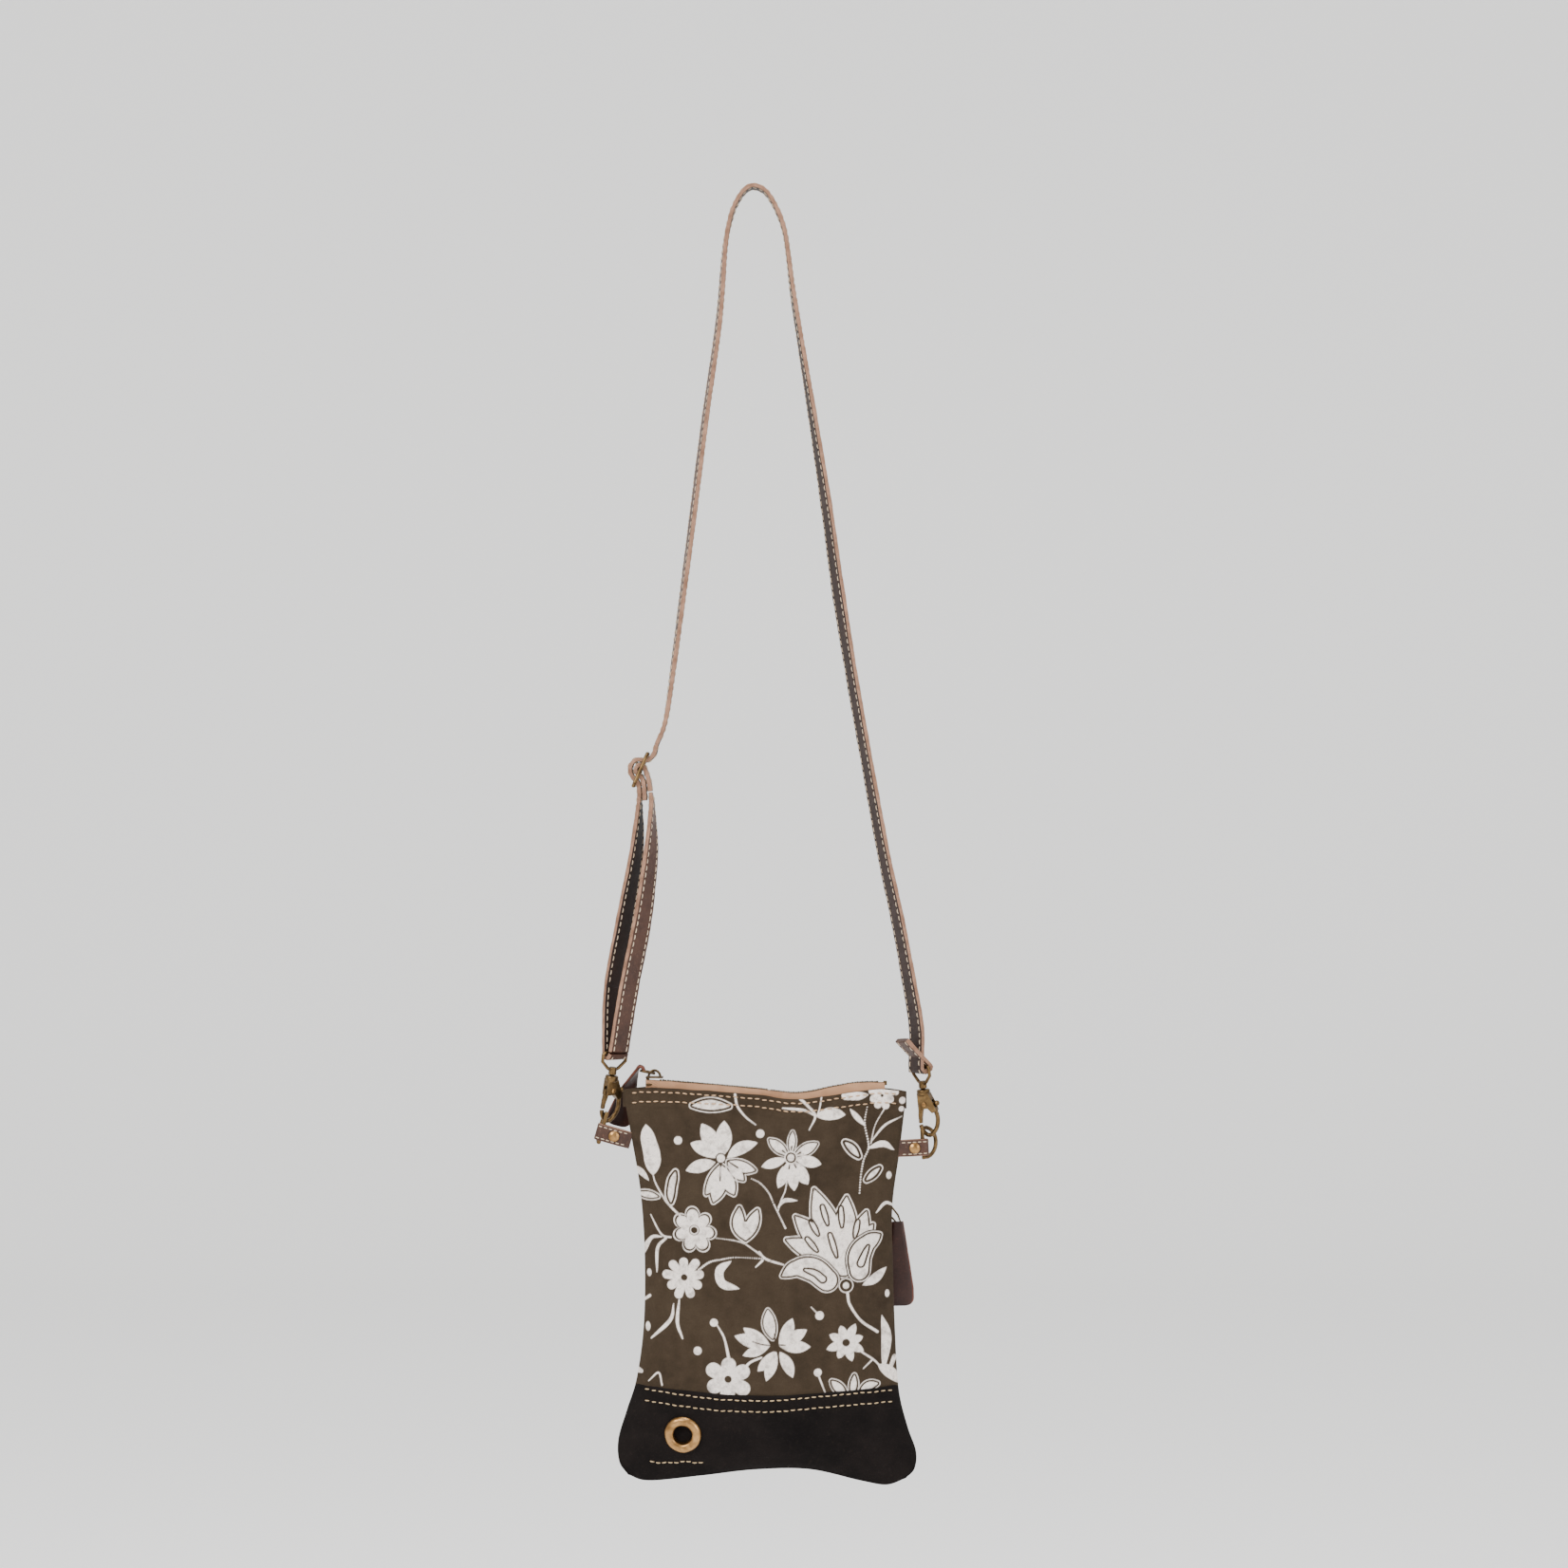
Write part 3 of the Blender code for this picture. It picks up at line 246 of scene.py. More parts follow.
class Paint:
    """A procedural material, built a node at a time round one Principled shader."""

    def __init__(self, name, roughness, metallic=0.0, shine=0.5):
        self.made = bpy.data.materials.new(name)
        self.made.use_nodes = True
        self.tree = self.made.node_tree
        self.shader = self.tree.nodes["Principled BSDF"]
        self.shader.inputs["Roughness"].default_value = roughness
        self.shader.inputs["Metallic"].default_value = metallic
        self.shader.inputs["Specular IOR Level"].default_value = shine
        self.place = self.node("ShaderNodeTexCoord").outputs["Object"]

    def node(self, kind, **values):
        made = self.tree.nodes.new(kind)
        for key, value in values.items():
            setattr(made, key, value)
        return made

    def join(self, a, b):
        self.tree.links.new(a, b)

    def noise(self, scale, detail=4.0, roughness=0.6, vector=None):
        made = self.node("ShaderNodeTexNoise")
        self.join(vector or self.place, made.inputs["Vector"])
        made.inputs["Scale"].default_value = scale
        made.inputs["Detail"].default_value = detail
        made.inputs["Roughness"].default_value = roughness
        return made.outputs["Fac"]

    def bands(self, direction, period, distortion=0.6):
        """Threads across a direction: period is the distance from one to the next, in metres."""
        made = self.node("ShaderNodeTexWave", bands_direction=direction)
        self.join(self.place, made.inputs["Vector"])
        made.inputs["Scale"].default_value = 2 * math.pi / (20 * period)
        made.inputs["Distortion"].default_value = distortion
        made.inputs["Detail"].default_value = 1.0
        made.inputs["Detail Scale"].default_value = 1.5
        return made.outputs["Fac"]

    def cells(self, scale, feature="DISTANCE_TO_EDGE"):
        made = self.node("ShaderNodeTexVoronoi", feature=feature)
        self.join(self.place, made.inputs["Vector"])
        made.inputs["Scale"].default_value = scale
        return made.outputs["Distance"]

    def math(self, operation, a, b=0.0, clamp=False):
        made = self.node("ShaderNodeMath", operation=operation, use_clamp=clamp)
        for socket, value in zip(made.inputs, (a, b)):
            if isinstance(value, (int, float)):
                socket.default_value = value
            else:
                self.join(value, socket)
        return made.outputs["Value"]

    def ramp(self, fac, *stops):
        made = self.node("ShaderNodeValToRGB")
        self.join(fac, made.inputs["Fac"])
        points = made.color_ramp.elements
        while len(points) < len(stops):
            points.new(0.5)
        for point, (at, colour) in zip(points, stops):
            point.position = at
            point.color = colour if hasattr(colour, "__len__") else (colour, colour, colour, 1.0)
        return made.outputs["Color"]

    def mix(self, fac, a, b, blend="MIX"):
        made = self.node("ShaderNodeMix", data_type="RGBA", blend_type=blend)
        for socket, value in zip((made.inputs[0], made.inputs[6], made.inputs[7]), (fac, a, b)):
            if isinstance(value, (int, float)) or (isinstance(value, tuple)):
                socket.default_value = value
            else:
                self.join(value, socket)
        return made.outputs[2]

    def attribute(self, name):
        return self.node("ShaderNodeAttribute", attribute_name=name).outputs["Fac"]

    def colour(self, value):
        self.join(value, self.shader.inputs["Base Color"])

    def rough(self, fac, low, high):
        self.join(self.ramp(fac, (0.0, low), (1.0, high)), self.shader.inputs["Roughness"])

    def bump(self, fac, distance, strength=1.0, under=None):
        made = self.node("ShaderNodeBump")
        made.inputs["Strength"].default_value = strength
        made.inputs["Distance"].default_value = distance
        self.join(fac, made.inputs["Height"])
        if under is not None:
            self.join(under, made.inputs["Normal"])
        self.join(made.outputs["Normal"], self.shader.inputs["Normal"])
        return made.outputs["Normal"]

    def fuzz(self, weight, roughness=0.5, tint=(1, 1, 1, 1)):
        self.shader.inputs["Sheen Weight"].default_value = weight
        self.shader.inputs["Sheen Roughness"].default_value = roughness
        self.shader.inputs["Sheen Tint"].default_value = tint


def canvas_paint(name, printed):
    """Olive-brown cotton duck, faded in soft patches. On the front, chalky white ink lies on the threads."""
    paint = Paint(name, 0.92, shine=0.1)
    patches = paint.ramp(paint.noise(26, 3), (0.3, 0.0), (0.7, 1.0))
    mottle = paint.ramp(paint.noise(140, 5), (0.25, 0.0), (0.75, 1.0))
    cloth = paint.mix(patches, linear(36, 28, 20), linear(48, 39, 29))
    cloth = paint.mix(paint.math("MULTIPLY", mottle, 0.5), cloth, linear(62, 51, 40))
    fibres = paint.ramp(paint.noise(2600, 2), (0.35, 0.78), (0.65, 1.12))
    cloth = paint.mix(0.8, cloth, fibres, "MULTIPLY")
    threads = paint.math("MULTIPLY", paint.bands("X", 0.00062), paint.bands("Z", 0.00066))
    if printed:
        ink = paint.attribute("ink")
        worn = paint.ramp(paint.noise(1500, 4, 0.75), (0.30, 0.25), (0.46, 1.0))
        rubbed = paint.ramp(paint.noise(210, 3), (0.28, 0.55), (0.5, 1.0))
        cover = paint.math("MULTIPLY", ink, paint.math("MULTIPLY", worn, rubbed), clamp=True)
        chalk = paint.mix(paint.noise(420, 3), linear(196, 184, 176), linear(232, 224, 217))
        cloth = paint.mix(cover, cloth, chalk)
    paint.colour(cloth)
    first = paint.bump(threads, 0.00012, 0.75)
    paint.bump(paint.noise(900, 3), 0.00008, 0.5, first)
    paint.fuzz(0.05, 0.6, linear(150, 130, 105))
    return paint.made


def suede_paint():
    """Black suede: a soft nap, brushed lighter here and there, and brown where its edges are rubbed."""
    paint = Paint("black_suede", 0.95, shine=0.06)
    nap = paint.ramp(paint.noise(46, 5, 0.65), (0.3, 0.0), (0.72, 1.0))
    base = paint.mix(nap, linear(13, 11, 11), linear(24, 20, 19))
    grain = paint.ramp(paint.noise(2200, 3), (0.3, 0.7), (0.7, 1.25))
    base = paint.mix(0.75, base, grain, "MULTIPLY")
    rub = paint.ramp(paint.noise(330, 4), (0.60, 0.0), (0.78, 0.45))
    paint.colour(paint.mix(rub, base, linear(40, 33, 29)))
    first = paint.bump(paint.noise(1400, 4), 0.00016, 0.8)
    paint.bump(paint.noise(120, 4), 0.0005, 0.35, first)
    paint.fuzz(0.05, 0.45, linear(90, 80, 76))
    return paint.made


def leather_paint(name, dark, light, roughness=0.55, grain=760, worn=None):
    """Grained leather with a slight polish. worn is the colour of scuffs."""
    paint = Paint(name, roughness, shine=0.28)
    cloud = paint.ramp(paint.noise(60, 5), (0.3, 0.0), (0.7, 1.0))
    base = paint.mix(cloud, dark, light)
    streaks = paint.ramp(paint.noise(300, 5, 0.7), (0.35, 0.85), (0.7, 1.15))
    base = paint.mix(0.7, base, streaks, "MULTIPLY")
    if worn:
        scuffs = paint.ramp(paint.noise(520, 6, 0.75), (0.56, 0.0), (0.72, 0.7))
        base = paint.mix(scuffs, base, worn)
    paint.colour(base)
    paint.rough(paint.noise(200, 4), roughness - 0.14, roughness + 0.16)
    first = paint.bump(paint.cells(grain), 0.00012, 0.5)
    paint.bump(paint.noise(1900, 3), 0.00006, 0.5, first)
    return paint.made


def raw_edge_paint():
    """The cut edge of two layers of strap leather: tan fibres, with a darker glue line and stains."""
    paint = Paint("raw_edge", 0.85, shine=0.15)
    stain = paint.ramp(paint.noise(170, 5), (0.32, 0.0), (0.68, 1.0))
    base = paint.mix(stain, linear(110, 80, 64), linear(146, 112, 92))
    fine = paint.ramp(paint.noise(2400, 3), (0.3, 0.72), (0.7, 1.18))
    paint.colour(paint.mix(0.8, base, fine, "MULTIPLY"))
    paint.bump(paint.noise(1700, 4), 0.0002, 0.9)
    paint.fuzz(0.04, 0.6, linear(200, 180, 160))
    return paint.made


def tape_paint():
    """Tan zip tape: a close herringbone twill, faded along its length."""
    paint = Paint("zip_tape_tan", 0.9, shine=0.15)
    fade = paint.ramp(paint.noise(70, 4), (0.3, 0.0), (0.7, 1.0))
    base = paint.mix(fade, linear(126, 91, 66), linear(154, 118, 90))
    ribs = paint.bands("DIAGONAL", 0.0007, 1.2)
    paint.colour(paint.mix(0.35, base, paint.ramp(ribs, (0.0, 0.6), (1.0, 1.15)), "MULTIPLY"))
    paint.bump(ribs, 0.00012, 0.7)
    paint.fuzz(0.04)
    return paint.made


def thread_paint(name, dark, light):
    """Waxed thread: two plies twisted together."""
    paint = Paint(name, 0.7)
    paint.colour(paint.mix(paint.noise(600, 3), dark, light))
    paint.bump(paint.bands("DIAGONAL", 0.00045, 0.4), 0.00012, 0.8)
    return paint.made


def cotton_paint():
    """Natural cotton lining with a woven stripe."""
    paint = Paint("lining_cotton", 0.95, shine=0.1)
    stripe = paint.ramp(paint.bands("X", 0.0064, 0.0), (0.55, 0.0), (0.72, 1.0))
    base = paint.mix(stripe, linear(150, 138, 118), linear(110, 94, 72))
    base = paint.mix(paint.noise(240, 4), base, linear(164, 152, 132))
    paint.colour(base)
    paint.bump(paint.math("MULTIPLY", paint.bands("X", 0.0005), paint.bands("Z", 0.0005)), 0.0001, 0.6)
    return paint.made


def brass_paint(name, dark, light, roughness=0.32):
    """Antiqued brass: bright where it is rubbed, browned in patches, with a fine brushed grain."""
    paint = Paint(name, roughness, 1.0)
    patina = paint.ramp(paint.noise(260, 4, 0.55), (0.30, 0.0), (0.70, 1.0))
    base = paint.mix(patina, dark, light)
    specks = paint.ramp(paint.noise(2600, 3), (0.60, 0.0), (0.75, 0.45))
    base = paint.mix(specks, base, dark)
    paint.colour(base)
    paint.rough(paint.noise(900, 4), roughness - 0.08, roughness + 0.22)
    paint.bump(paint.noise(1500, 4), 0.00003, 0.4)
    return paint.made


CANVAS_FRONT = canvas_paint("printed_canvas", True)
CANVAS_PLAIN = canvas_paint("plain_canvas", False)
SUEDE = suede_paint()
STRAP_FACE = leather_paint("strap_face", linear(46, 27, 20), linear(68, 43, 32), 0.52, 900,
                           linear(96, 68, 54))
# The strap's inner face: a darker copy of the strap leather, as painted shade on the strap's inside.
STRAP_BACK_SHADED = leather_paint("strap_back_painted_shade", linear(30, 18, 15), linear(42, 27, 22), 0.6, 900)
RAW_EDGE = raw_edge_paint()
PULLER_LEATHER = leather_paint("puller_leather", linear(32, 15, 12), linear(52, 26, 19), 0.42, 700,
                               linear(76, 42, 31))
TAB_LEATHER = leather_paint("tab_leather", linear(42, 24, 17), linear(68, 42, 30), 0.5, 800,
                            linear(102, 70, 52))
EDGE_LEATHER = leather_paint("burnished_edge", linear(70, 32, 23), linear(100, 54, 39), 0.5, 900)
TAPE = tape_paint()
HEM_THREAD = thread_paint("hem_thread", linear(150, 116, 84), linear(186, 154, 120))
BAND_THREAD = thread_paint("band_thread", linear(140, 118, 86), linear(178, 156, 120))
STRAP_THREAD = thread_paint("strap_thread", linear(166, 144, 120), linear(204, 184, 160))
COTTON = cotton_paint()
BRASS = brass_paint("antique_brass", linear(64, 49, 32), linear(118, 94, 62))
DARK_BRASS = brass_paint("dark_brass", linear(40, 32, 23), linear(92, 74, 50), 0.38)
BRIGHT_BRASS = brass_paint("rubbed_brass", linear(112, 82, 48), linear(176, 136, 88), 0.28)


# ------------------------------------------------------------------ meshes
def add(name, mesh, *paints):
    made = bpy.data.objects.new(name, mesh)
    for paint in paints:
        mesh.materials.append(paint)
    bpy.context.scene.collection.objects.link(made)
    return made


def surface(name, x, y, z, *paints, ink=None, bands=None, closed=False):
    """A smooth mesh from rows by columns of points in millimetres. bands gives each column's material."""
    rows, columns = x.shape
    points = np.stack([x, y, z], axis=-1).reshape(-1, 3) * MM
    across = columns if closed else columns - 1
    row, column = np.meshgrid(np.arange(rows - 1), np.arange(across), indexing="ij")
    a = row * columns + column
    b = row * columns + (column + 1) % columns
    faces = np.stack([a, b, b + columns, a + columns], axis=-1).reshape(-1, 4)
    mesh = bpy.data.meshes.new(name)
    mesh.from_pydata(points.tolist(), [], faces.tolist())
    if bands is not None:
        mesh.polygons.foreach_set("material_index", np.asarray(bands)[column.reshape(-1)])
    if ink is not None:
        cover = mesh.attributes.new("ink", "FLOAT", "POINT")
        cover.data.foreach_set("value", ink.reshape(-1).astype(np.float32))
    mesh.shade_smooth()
    return add(name, mesh, *paints)


def close_ends(obj, rows, columns):
    """Closes the two open ends of a tube that surface() made."""
    mesh = bmesh.new()
    mesh.from_mesh(obj.data)
    mesh.verts.ensure_lookup_table()
    mesh.faces.new([mesh.verts[k] for k in range(columns)])
    mesh.faces.new([mesh.verts[(rows - 1) * columns + k] for k in reversed(range(columns))])
    bmesh.ops.recalc_face_normals(mesh, faces=mesh.faces)
    mesh.to_mesh(obj.data)
    mesh.free()


def face_out(obj, side):
    """Turns a sheet's faces to the front, side -1, or to the back."""
    total = np.zeros(len(obj.data.polygons) * 3)
    obj.data.polygons.foreach_get("normal", total)
    if total.reshape(-1, 3)[:, 1].mean() * side < 0:
        obj.data.flip_normals()


def attach(obj, body, slot, *nodes):
    """Says a piece's body (None where it bends) and the frame's nodes that it stands for. slot is not used."""
    if body:
        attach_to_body(obj, body)
    if nodes:
        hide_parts(*nodes)
    return obj


def stitches(name, at, heading, outward, paint, length=2.9, width=0.42, sink=0.12):
    """A row of stitches as one mesh: short arched threads whose ends dive into the cloth.

    at, heading and outward are arrays: where each stitch lies, which way it runs, and away from the cloth.
    """
    at, heading, outward = (np.asarray(k, float) for k in (at, heading, outward))
    heading = heading / np.linalg.norm(heading, axis=1, keepdims=True)
    outward = outward - heading * (outward * heading).sum(1, keepdims=True)
    outward = outward / np.linalg.norm(outward, axis=1, keepdims=True)
    side = np.cross(heading, outward)
    stations = np.array([-1.0, -0.86, -0.5, 0.0, 0.5, 0.86, 1.0])
    lift = width * (1.15 * np.sqrt(np.maximum(1 - stations**2, 0)) - 0.35) - sink
    girth = width * (0.35 + 0.65 * np.sqrt(np.maximum(1 - stations**2, 0)))
    sides = 7
    angle = np.linspace(0, 2 * math.pi, sides, endpoint=False)
    spine = at[:, None, :] + heading[:, None, :] * (stations * length / 2)[None, :, None]
    spine = spine + outward[:, None, :] * lift[None, :, None]
    ring = side[:, None, :] * np.cos(angle)[None, :, None]
    ring = ring + outward[:, None, :] * np.sin(angle)[None, :, None] * 0.8
    points = spine[:, :, None, :] + ring[:, None, :, :] * girth[None, :, None, None]
    each = len(stations) * sides
    quads = []
    for r in range(len(stations) - 1):
        for c in range(sides):
            d = (c + 1) % sides
            quads.append((r * sides + c, r * sides + d, (r + 1) * sides + d, (r + 1) * sides + c))
    ends = [tuple(reversed(range(sides))), tuple(range(each - sides, each))]
    shift = np.arange(len(at))[:, None, None] * each
    faces = (np.array(quads)[None] + shift).reshape(-1, 4).tolist()
    faces += (np.array(ends)[None] + shift).reshape(-1, sides).tolist()
    mesh = bpy.data.meshes.new(name)
    mesh.from_pydata((points.reshape(-1, 3) * MM).tolist(), [], faces)
    mesh.shade_smooth()
    return add(name, mesh, paint)


def row_points(x, z, y, pitch):
    """Evenly spaced points along a dense line given by arrays, and the way the line runs at each."""
    line = np.stack([x, y, z], axis=-1)
    steps = np.r_[0, np.cumsum(np.linalg.norm(np.diff(line, axis=0), axis=1))]
    count = max(int(steps[-1] / pitch), 1)
    at = (np.arange(count) + 0.5) * steps[-1] / count
    places = np.stack([np.interp(at, steps, line[:, k]) for k in range(3)], axis=-1)
    ahead = np.stack([np.interp(at + 0.4, steps, line[:, k]) for k in range(3)], axis=-1)
    behind = np.stack([np.interp(at - 0.4, steps, line[:, k]) for k in range(3)], axis=-1)
    return places, ahead - behind


# ------------------------------------------------------------------ the print
def swell(widths, samples):
    """Widths along a stroke: rounded where it is widest and running out straight to its tips."""
    share = np.linspace(0, len(widths) - 1, samples)
    k = np.minimum(share.astype(int), len(widths) - 2)
    start, end = np.array(widths, float)[k], np.array(widths, float)[k + 1]
    step = share - k
    rise = np.sin(step * math.pi / 2)
    fall = 1 - np.cos(step * math.pi / 2)
    return start + (end - start) * np.where(end > start, rise, fall)


class Print:
    """Ink on the canvas, from brush strokes that swell and taper. Shapes add ink; cuts take it away."""

    SOFT = 0.34

    def __init__(self, x, z):
        self.x, self.z = x.reshape(-1), z.reshape(-1)
        self.ink = np.zeros_like(self.x)

    def brush(self, points, widths):
        """How far each point of the canvas is outside a stroke, in millimetres: negative is inside."""
        samples = 34
        path = curve(points, samples)
        half = swell(widths, samples) / 2
        away = np.full_like(self.x, 99.0)
        margin = half.max() + 4
        near = ((self.x > path[:, 0].min() - margin) & (self.x < path[:, 0].max() + margin)
                & (self.z > path[:, 1].min() - margin) & (self.z < path[:, 1].max() + margin))
        x, z = self.x[near], self.z[near]
        best = np.full_like(x, 99.0)
        for (px, pz), radius in zip(path, half):
            best = np.minimum(best, np.hypot(x - px, z - pz) - radius)
        away[near] = best
        return away

    def solid(self, away):
        self.ink = np.maximum(self.ink, np.clip(0.5 - away / self.SOFT, 0, 1))

    def cut(self, away):
        self.ink = np.minimum(self.ink, np.clip(0.5 + away / self.SOFT, 0, 1))

    def line(self, away, gap, width):
        self.solid(np.abs(away - gap - width / 2) - width / 2)

    def groove(self, away, width):
        """A bare line just outside a shape."""
        self.cut(np.abs(away - width / 2) - width / 2)

    def stroke(self, points, widths):
        self.solid(self.brush(points, widths))

    def leaf(self, points, widths, gap=None, width=0.55):
        """A leaf or petal. With a gap, a thin outline runs round it."""
        away = self.brush(points, widths)
        if gap:
            self.cut(away - gap - width)
            self.line(away, gap, width)
        self.solid(away)

    def union(self, *strokes):
        away = self.brush(*strokes[0])
        for stroke in strokes[1:]:
            away = np.minimum(away, self.brush(*stroke))
        return away

    def dot(self, x, z, radius, tall=1.0):
        self.solid((np.hypot(self.x - x, (self.z - z) / tall) - radius))

    def ring(self, x, z, radius, width):
        self.solid(np.abs(np.hypot(self.x - x, self.z - z) - radius) - width / 2)

    def hole(self, x, z, radius):
        self.cut(np.hypot(self.x - x, self.z - z) - radius)

    def daisy(self, x, z, petals, reach, width, turn, eye, pointed=False):
        """A flower of like petals round a bare eye."""
        for k in range(petals):
            a = math.radians(turn + 360 * k / petals)
            stretch = 1 + 0.10 * math.sin(2.3 * k + turn)
            tip = (x + math.cos(a) * reach * stretch, z + math.sin(a) * reach * stretch)
            middle = (x + math.cos(a) * reach * 0.6, z + math.sin(a) * reach * 0.6)
            widths = [width * 0.7, width, 0.3] if pointed else [width * 0.55, width * 0.85, width]
            self.stroke([(x, z), middle, tip], widths)
        self.hole(x, z, eye)


def top_sprigs(p):
    p.leaf([(-61.8, -531.8), (-60.5, -540), (-58.2, -549.5), (-57.6, -560.5)], [0.2, 8.6, 9.6, 0.3])
    stem = [(-57.6, -560.5), (-56.2, -565), (-51.9, -572.6), (-47.4, -578.2), (-40.3, -584.8)]
    p.stroke(stem, [0.7, 1.0, 1.3, 1.1])
    p.stroke([(-71, -557.0), (-65, -558.6), (-60.1, -563.6)], [4.4, 3.6, 0.3])
    p.leaf([(-66.5, -571.2), (-60, -571.8), (-54.9, -572.6)], [0.5, 3.2, 0.3], 0.95)
    p.leaf([(-44.9, -558.6), (-46.7, -565), (-47.5, -571), (-47.4, -575.6)], [0.3, 3.4, 3.4, 0.3], 1.25, 0.65)
    p.leaf([(-35.3, -521), (-25, -520.6), (-14.4, -521.4)], [0.3, 5.4, 0.3], 1.3, 0.55)
    p.stroke([(-11.1, -514.8), (-9.7, -521.4), (-5, -527.4), (0.5, -531.8)], [1.3, 1.1, 0.7])
    p.stroke([(25.8, -517.2), (30.3, -521.4), (34.4, -526.9), (31.1, -534.6)], [1.5, 1.3, 0.7])
    p.stroke([(15.9, -522.5), (27.5, -523.6), (33.6, -526.3)], [0.7, 1.5, 0.8])
    p.stroke([(38, -516.4), (36.9, -522.5), (35.4, -527.0)], [0.8, 0.7, 0.8])
    p.leaf([(35.2, -526.9), (43.5, -525.6), (51.4, -526.2)], [0.6, 7.0, 0.3])


def right_branch(p):
    p.stroke([(63.9, -521.9), (62.5, -531.3), (64.7, -544), (61.9, -551.7), (60.3, -560.5), (59.5, -570.4)],
             [0.6, 1.0, 1.0, 0.8])
    p.stroke([(54.2, -523), (58, -527.5), (62.2, -531.9)], [0.3, 3.0, 0.9])
    p.stroke([(74.3, -521.9), (68.5, -532), (66, -542.3)], [0.7, 0.55, 0.7])
    p.stroke([(83.7, -527.4), (73.8, -532.4), (66.3, -541.2)], [0.4, 1.3, 0.6])
    p.stroke([(64.4, -545.1), (73, -542.8), (79.3, -546.5)], [0.5, 3.6, 0.3])
    p.leaf([(51.4, -541.8), (55, -545), (59, -549.6)], [0.3, 3.2, 0.3], 1.5, 0.6)
    p.leaf([(70.8, -556.6), (67, -560), (63.6, -563)], [0.3, 2.6, 0.3], 1.5, 0.5)
    p.stroke([(69.1, -581.7), (74.3, -576.5), (79.5, -578.4)], [0.6, 1.7, 0.8])


def corner_flower(p):
    p.stroke([(51.7, -515.5), (58, -515.6), (64.4, -515)], [4.5, 4.6, 0.4])
    p.daisy(72.4, -515.4, 8, 5.6, 4.2, 20, 0.9)
    p.dot(84.0, -518.4, 1.9)
    p.dot(83.4, -523.2, 1.5)
    p.dot(80.3, -513.6, 1.6)


def star_flower(p, x=-19.1, z=-550.6):
    """The large flower at the top left: joined points above, leaves beside, outlined petals below."""
    p.stroke([(x - 2.4, z + 2.1), (x - 5.4, z + 9.6), (x - 10.4, z + 18.4)], [3, 9.4, 1.8])
    p.stroke([(x - 1.4, z + 1.6), (x + 1.3, z + 9.6), (x + 1.9, z + 20.8)], [4, 9.4, 0.4])
    p.stroke([(x - 2.9, z + 1.6), (x - 8.9, z + 5.1), (x - 17, z + 8.3)], [3, 7.8, 0.4])
    p.stroke([(x + 3.8, z + 0.4), (x + 11.1, z + 5.6), (x + 20.6, z + 8.7)], [0.5, 6.8, 0.3])
    p.stroke([(x - 3.6, z - 2.4), (x - 10.9, z - 4.2), (x - 19.6, z - 7)], [0.8, 7.2, 0.4])
    low = p.union(([(x - 0.4, z - 4.6), (x - 4.6, z - 14.4), (x - 8.2, z - 20)], [1.2, 6.2, 0.3]),
                  ([(x - 0.2, z - 4.6), (x - 1.4, z - 15.4), (x - 4.1, z - 24.4)], [1.6, 8.2, 0.3]),
                  ([(x + 0.2, z - 4.6), (x + 4.2, z - 13.4), (x + 7.4, z - 20)], [1.2, 7.2, 0.3]))
    p.line(low, 1.0, 0.6)
    p.solid(low)
    p.cut(p.brush([(x, z - 4), (x - 0.4, z - 12.6)], [1.1, 0.9]))
    p.stroke([(x, z - 5), (x - 0.2, z - 10.4)], [0.5, 0.2])
    fork = p.union(([(x + 4.4, z - 2), (x + 12.1, z - 4.8), (x + 19.2, z - 6.7)], [0.6, 5.6, 0.3]),
                   ([(x + 4.4, z - 2.4), (x + 8.6, z - 7.6), (x + 12.8, z - 12)], [0.6, 5.6, 0.3]))
    p.line(fork, 1.0, 0.5)
    p.solid(fork)
    p.cut(p.brush([(x + 4, z - 1.6), (x + 9.6, z - 5.2)], [0.6, 1.1]))
    p.hole(x, z, 3.1)
    p.dot(x, z, 2.3)


def ring_flower(p, x=20.6, z=-550.3):
    """The flower at the top right of the middle: slim outlined petals above a ring, full ones below."""
    petals = [(86, 14.4, 3.4, 0.8), (140, 15.6, 5.0, 0.9), (28, 16.6, 5.2, 0.9), (-12, 17.4, 6.4, 0),
              (-57, 17.6, 7.2, 0), (-84, 18.4, 6.6, 0), (-113, 18.2, 6.4, 0), (-163, 17.2, 5.6, 0)]
    for degrees, reach, width, gap in petals:
        a = math.radians(degrees)
        places = [(x + math.cos(a) * r, z + math.sin(a) * r) for r in (3.4, reach * 0.62, reach)]
        p.leaf(places, [1.2, width, 0.4], gap or None, 0.4)
    for degrees in (86, 140, 28, -62, -100, -134):
        a = math.radians(degrees)
        p.cut(p.brush([(x + math.cos(a) * r, z + math.sin(a) * r) for r in (3.5, 6.2)], [0.4, 1.0]))
    p.ring(x, z, 3.4, 0.7)
    p.hole(x, z, 3.0)
    p.dot(x, z, 2.0)
    p.stroke([(18.4, -563), (17.3, -569), (15.1, -574.0), (13.2, -580.6)], [0.6, 0.7, 0.6])
    p.stroke([(13.4, -578), (17, -574.3), (24.2, -574.3)], [0.6, 2.3, 0.3])
    p.stroke([(-1.7, -562), (3.2, -564.5), (8.1, -570), (11, -576.4), (17.5, -589.6)], [0.6, 0.8, 0.8, 1.0])


